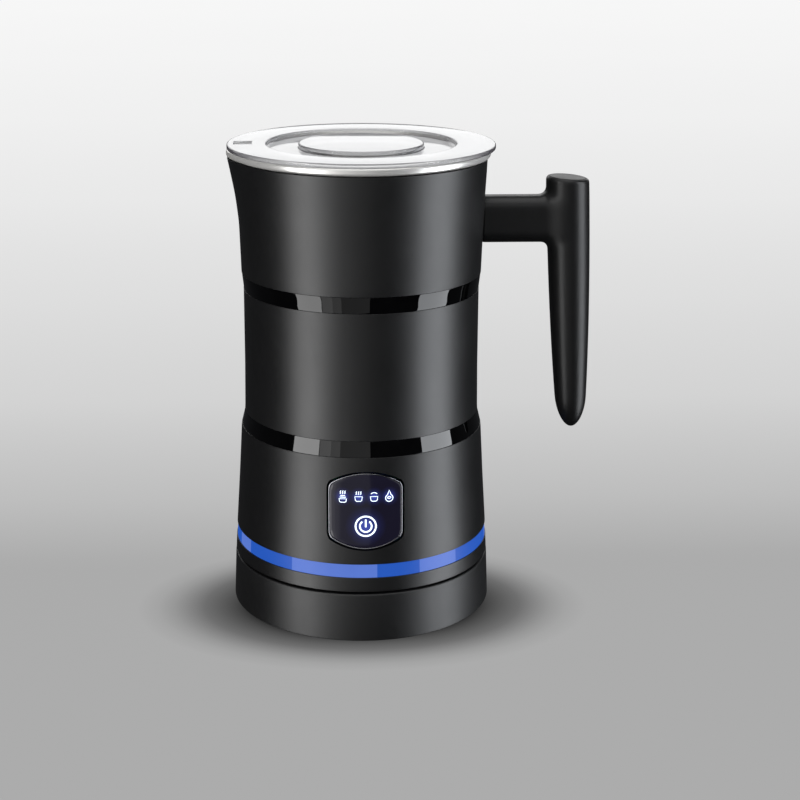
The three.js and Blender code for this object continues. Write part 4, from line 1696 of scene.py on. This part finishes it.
@dataclass
class Whisk:
    """The magnetic whisk: hub, knob, stirring ring with vanes, and the wound froth coil."""

    body: str = "whisk"
    disc: float = 14
    stem: float = 4.4
    coil_turns: int = 44
    coil_ring: float = 11
    coil_radius: float = 1.75
    wire: float = 0.42
    vanes: int = 4

    def build(self) -> None:
        """Model and fit every piece of the whisk."""
        low, high = low_z("whisk_hub"), high_z("whisk_hub")
        top = low + 4.5
        hub = spun("whisk_hub_turned", [
            (0, low + 9.5), (1.9, low + 9.5), (1.9, low, 0.4), (self.disc, low, 0.7),
            (self.disc, top, 0.7), (self.disc - 4, top), (self.disc - 4.4, top - 0.5, 0.3),
            (self.stem + 2.2, top - 0.5, 0.3), (self.stem, top + 1.8, 1.2), (self.stem, high, 0.3),
            (0, high),
        ], MEDIUM)
        pockets = [cylinder(f"pocket_{i}", 3.8, 6, Vector((
            box_middle(f"whisk_magnet_{i}").x, box_middle(f"whisk_magnet_{i}").y,
            (low - 0.3) * MM))) for i in (1, 2)]
        carve(hub, merged("pockets", pockets))
        fit(hub, self.body, Finish.MATTE_BLACK, ["whisk_hub"])
        self.knob()
        self.ring()
        self.coil()

    def knob(self) -> None:
        """Model the knob that lifts the whisk out, with a grip groove."""
        low, high = low_z("whisk_knob"), high_z("whisk_knob")
        piece = spun("whisk_knob_turned", [
            (0, low), (self.stem, low, 0.2), (6, low + 1.6, 0.8), (6, high - 2.6, 0.4),
            (5.5, high - 2.1, 0.3), (6, high - 1.6, 0.4), (5.6, high, 1), (0, high),
        ], MEDIUM)
        fit(piece, self.body, Finish.MATTE_BLACK, ["whisk_knob"])

    def ring(self) -> None:
        """Model the steel ring round the hub and its angled vanes."""
        low, high = low_z("stirring_ring"), high_z("stirring_ring")
        inner = self.disc + 0.3
        piece = spun("stirring_ring_bent", [
            (inner, low + 0.3, 0.2), (inner + 1.3, low + 0.3, 0.2), (inner + 1.3, high - 0.3, 0.2),
            (inner, high - 0.3, 0.2),
        ], MEDIUM, ring=True)
        middle = (low + high) / 2
        for i in range(self.vanes):
            angle = math.radians(45 + 360 * i / self.vanes)
            reach = inner + 3.2
            vane = block(f"vane_{i}", (5.4, 0.9, high - low), Vector((0, 0, 0)))
            soften(vane, 0.35, 3)
            vane.rotation_euler = (math.radians(14), 0, angle)
            vane.location = at(reach * math.cos(angle), reach * math.sin(angle), middle)
            carve(piece, settle(vane), "UNION")
        fit(piece, self.body, Finish.BRIGHT_STEEL, ["stirring_ring"])

    def coil(self) -> None:
        """Wind the froth coil: one turn of wire, repeated round the hub."""
        middle = box_middle("froth_coil").z / MM
        steps = 14
        points = []
        for i in range(steps + 1):
            lean = math.tau / self.coil_turns * i / steps
            turn = math.tau * i / steps
            reach = self.coil_ring + self.coil_radius * math.cos(turn)
            points.append(at(reach * math.cos(lean), reach * math.sin(lean),
                             middle + self.coil_radius * math.sin(turn)))
        traced("froth_coil_spring", points)
        bpy.ops.mesh.spin(
            steps=self.coil_turns, dupli=True, angle=math.tau, center=at(0, 0, 0),
            axis=(0, 0, 1), use_auto_merge=False)
        bpy.ops.mesh.select_all(action="SELECT")
        bpy.ops.mesh.remove_doubles(threshold=20 * WELD)
        bpy.ops.object.mode_set(mode="OBJECT")
        bpy.ops.object.convert(target="CURVE")
        wire = bpy.context.active_object
        wire.data.bevel_depth = self.wire * MM
        wire.data.bevel_resolution = 2
        bpy.ops.object.convert(target="MESH")
        fit(named("froth_coil_spring"), "coil", Finish.BRIGHT_STEEL, ["froth_coil"], 60)


@dataclass
class Lid:
    """The clear lid: flat rim, dished ring, raised knob, skirt and silicone seal."""

    body: str = "lid"
    dish: float = 38.9
    dish_floor: float = 197
    knob: float = 25.8
    sheet: float = 1.7
    rim_height: float = 1.9
    skirt: float = 44.6
    pocket_x: float = -48.6
    pocket_size: tuple[float, float, float] = (7.7, 9.3, 2.2)

    def build(self) -> None:
        """Model and fit the lid and its seal."""
        top, wide = high_z("lid_disc"), half_depth("lid_disc")
        low = top - self.rim_height  # just over the pot's rolled edge
        under = self.dish_floor - self.sheet
        piece = spun("lid_clear", [
            (0, top), (self.knob, top, 0.9), (self.knob, self.dish_floor, 0.6),
            (self.dish, self.dish_floor, 1.1), (self.dish + 0.3, top, 0.8), (wide, top, 0.8),
            (wide, low, 0.5), (wide - self.sheet, low, 0.1), (wide - self.sheet, top - self.sheet),
            (self.skirt + self.sheet, top - self.sheet), (self.skirt, low, 0.1),
            (self.skirt, under), (self.knob - self.sheet, under, 0.6),
            (self.knob - self.sheet, top - self.sheet, 0.6), (0, top - self.sheet),
        ])
        pocket = block("lid_pocket", self.pocket_size, at(self.pocket_x, 0, top))
        soften(pocket, 0.5, 3)
        carve(piece, pocket)
        fit(piece, self.body, Finish.CLEAR_PLASTIC, ["lid_disc"], 32)
        low, inner = low_z("lid_collar"), self.skirt - self.sheet
        collar = spun("lid_collar_ring", [
            (inner, low, 0.4), (self.skirt, low, 0.4), (self.skirt, under - 0.1),
            (inner, under - 0.1),
        ], ring=True)
        fit(collar, self.body, Finish.CLEAR_PLASTIC, ["lid_collar"])
        low, high = low_z("lid_seal"), high_z("lid_seal")
        seat = self.skirt + 0.1
        seal = spun("lid_seal_ring", [
            (seat, low, 0.2), (seat + 1, low, 0.2), (seat + 2.1, low + 0.6, 0.3),
            (seat + 1, low + 1.1, 0.2), (seat + 1, low + 1.7, 0.2), (seat + 2.2, high - 0.6, 0.3),
            (seat + 1, high, 0.2), (seat, high, 0.2),
        ], ring=True)
        fit(seal, self.body, Finish.SEAL_SILICONE, ["lid_seal"])


@dataclass
class JugBottom:
    """The jug's underside: bottom cover with a resting ring, and the connector cup."""

    body: str = "jug"
    rest_ring: float = 46.5
    hole: float = 15.2

    def build(self) -> None:
        """Model and fit the cover, the connector and its pin."""
        rest, top, wide = low_z("jug_bottom"), high_z("jug_bottom"), half_depth("jug_bottom")
        under = top - 1.8
        ring = self.rest_ring
        cover = spun("jug_bottom_cover", [
            (self.hole, under, 0.3), (24, under), (24.5, under - 0.5, 0.3), (27, under - 0.5, 0.3),
            (27.5, under), (ring - 2.5, under, 0.4), (ring - 2, rest, 0.5), (ring + 2, rest, 0.5),
            (ring + 2.5, under, 0.4), (wide, under, 0.3), (wide, top), (self.hole, top),
        ], ring=True)
        bores = []
        for i in (1, 2, 3):
            spot = box_middle(f"jug_screw_{i}")
            bores.append(cylinder(f"bore_{i}", 1.75, 12, Vector((spot.x, spot.y, under * MM))))
        carve(cover, merged("bores", bores))
        fit(cover, self.body, Finish.MATTE_BLACK, ["jug_bottom"])

        low, high = low_z("jug_connector"), high_z("jug_connector")
        roof = high - 2
        cup = spun("connector_cup", [
            (1.4, high), (15, high), (15, low, 0.4), (11.5, low, 0.6), (11.5, roof, 0.6),
            (1.4, roof),
        ], MEDIUM, ring=True)
        fit(cup, self.body, Finish.MATTE_BLACK, ["jug_connector"])
        low, high = low_z("contact_pin"), high_z("contact_pin")
        pin = spun("contact_pin_turned", [
            (0, low), (0.7, low, 0.3), (1.1, low + 1.2, 0.4), (1.1, high, 0.2), (0, high),
        ], SMALL)
        fit(pin, self.body, Finish.CONTACT_BRASS, ["contact_pin"])


def dress_inner_nodes() -> None:
    """Give every CAD node that stays its finish from the record."""
    finishes = {finish.slot: finish for finish in Finish}
    for part in frame["record"]["subparts"]:
        node = frame["nodes"][part["node"]]
        node.data.materials.clear()
        node.data.materials.append(finishes[part["material_slot"]].material())


# --------------------------------------------------------------------------- the studio


@dataclass
class Softbox:
    """A soft light that stands round the object."""

    name: str
    bearing: float  # degrees from the camera's side, towards +X
    distance: float  # this and the next three are metres
    height: float
    width: float
    tall: float
    radiance: float  # brightness of its face
    tint: tuple[float, float, float] = (1, 1, 1)

    def build(self) -> None:
        """Add the light, facing the jug."""
        angle = math.radians(self.bearing)
        place = Vector((AXIS_X + self.distance * math.sin(angle),
                        -self.distance * math.cos(angle), self.height))
        aim = Vector((AXIS_X, 0, self.height if self.height < 1 else 0))
        deselect()
        bpy.ops.object.light_add(type="AREA", location=place)
        lamp = named(self.name)
        lamp.rotation_euler = (aim - place).to_track_quat("-Z", "Y").to_euler()
        lamp.data.shape = "RECTANGLE"
        lamp.data.size, lamp.data.size_y = self.width, self.tall
        lamp.data.energy = self.radiance * math.pi * self.width * self.tall
        lamp.data.color = self.tint
        lamp.visible_camera = False


@dataclass
class Studio:
    """The camera, the pale floor and wall, and the soft lights."""

    lens: float = 75.58  # millimetres, on a sensor 36 mm wide
    distance: float = 0.6896  # from the jug's axis, level
    height: float = 0.3053
    pitch: float = 17.48  # degrees downwards
    yaw: float = 2.0  # degrees round the jug, towards its spout
    shift: float = 0.0485  # share of the picture's width

    def build(self) -> None:
        """Set up the whole studio."""
        bpy.context.scene.view_settings.view_transform = "Standard"
        self.camera()
        self.floor()
        self.backdrop()
        self.world()
        for light in (
            Softbox("left_softbox", -53.5, 0.9, 0.15, 0.41, 1.5, 5.8),
            Softbox("left_skirt", -35, 0.95, 0.15, 0.17, 1.5, 1.6),
            Softbox("left_skirt_end", -25.5, 0.95, 0.15, 0.15, 1.5, 0.6),
            Softbox("right_softbox", 72.3, 0.9, 0.15, 0.56, 1.5, 6.0, (0.93, 0.96, 1.0)),
            Softbox("front_fill", -12, 1.3, 0.2, 0.86, 1.6, 0.45),
            Softbox("high_softbox", -8, 1.0, 1.1, 0.9, 0.5, 1.5),
            Softbox("top_softbox", 0, 0.05, 1.5, 1.3, 1.3, 2.2),
            Softbox("back_softbox", 180, 1.7, 0.75, 2.2, 0.8, 1.5),
        ):
            light.build()

    def camera(self) -> None:
        """Add the camera."""
        turn = math.radians(self.yaw)
        place = Vector((AXIS_X - self.distance * math.sin(turn),
                        -self.distance * math.cos(turn), self.height))
        deselect()
        bpy.ops.object.camera_add(
            location=place, rotation=(math.radians(90 - self.pitch), 0, -turn))
        camera = named("camera")
        camera.data.lens = self.lens
        camera.data.sensor_width = 36
        camera.data.shift_x = self.shift
        bpy.context.scene.camera = camera

    @staticmethod
    def world() -> None:
        """Set a dim even surround."""
        world = bpy.data.worlds.new("surround")
        world.use_nodes = True
        background = world.node_tree.nodes["Background"]
        background.inputs[0].default_value = (0.9, 0.93, 1.0, 1)
        background.inputs[1].default_value = 0.03
        bpy.context.scene.world = world

    @staticmethod
    def floor() -> None:
        """Lay the pale floor, brighter far away, with a soft shadow round the base."""
        deselect()
        bpy.ops.mesh.primitive_plane_add(size=24, location=(0, 0, -0.0002))
        floor = named("studio_floor")
        settle(floor)
        shader = Shader("studio_floor")
        x, y, _ = shader.parts()
        fade = 3.3  # metres behind the jug to where the floor is palest
        shadow_x, shadow_y, shadow_middle = 0.098, 0.066, -0.015
        away = shader.ramp(
            y / fade, (0.01, 0.40), (0.034, 0.50), (0.085, 0.64), (0.16, 0.72), (0.28, 0.805),
            (0.45, 0.865), (0.67, 0.90), (1.0, 0.925))
        behind = (y - shadow_middle) / shadow_y
        side = x / shadow_x
        shade = shader.ramp(
            shader.number("SQRT", side * side + behind * behind), (0.5, 0.05), (0.564, 0.16),
            (0.633, 0.27), (0.7, 0.38), (0.768, 0.57), (0.837, 0.76), (0.905, 0.9), (1.0, 1.0))
        cloud = shader.noise(shader.place(), 3, 3)
        glow = away * shade * (cloud * 0.01 + 0.995)
        floor.data.materials.append(shader.surface({
            "Base Color": shader.mix(shade, rgb(0.002, 0.002, 0.002), rgb(0.01, 0.01, 0.01)),
            "Roughness": cloud * 0.1 + 0.6,
            "Specular IOR Level": 0.0,
            "Emission Color": shader.mix(glow, rgb(0, 0, 0), rgb(1, 1, 1)),
            "Emission Strength": 1.0,
        }))
        floor.visible_glossy = False

    @staticmethod
    def backdrop() -> None:
        """Stand a wide pale wall all round, seen only from low angles."""
        deselect()
        bpy.ops.mesh.primitive_cylinder_add(
            vertices=MEDIUM, radius=11.9, depth=9, end_fill_type="NOTHING", location=(0, 0, 4.4))
        wall = named("studio_backdrop")
        bpy.ops.object.mode_set(mode="EDIT")
        bpy.ops.mesh.flip_normals()
        bpy.ops.object.mode_set(mode="OBJECT")
        settle(wall)
        smooth(wall)
        shader = Shader("studio_backdrop")
        _, _, z = shader.parts()
        cloud = shader.noise(shader.place(), 0.4, 2)
        glow = shader.ramp(z / 8, (0.0, 0.94), (1.0, 0.96)) * (cloud * 0.02 + 0.98)
        wall.data.materials.append(shader.surface({
            "Base Color": rgb(0.01, 0.01, 0.01),
            "Roughness": cloud * 0.1 + 0.8,
            "Emission Color": shader.mix(glow, rgb(0, 0, 0), rgb(1, 1, 1)),
            "Emission Strength": 1.0,
        }))
        wall.visible_glossy = wall.visible_diffuse = wall.visible_shadow = False


def main() -> None:
    """Build the studio and the frother, one sub-assembly after another."""
    logging.basicConfig(level=logging.INFO, format="%(name)s: %(message)s")
    dress_inner_nodes()
    for assembly in (
        Studio(), PowerBase(), JugBottom(), JugShells(), Pot(), Handle(), Whisk(), Lid(),
    ):
        log.info("building %s", type(assembly).__name__)
        assembly.build()


if __name__ == "__main__":
    main()
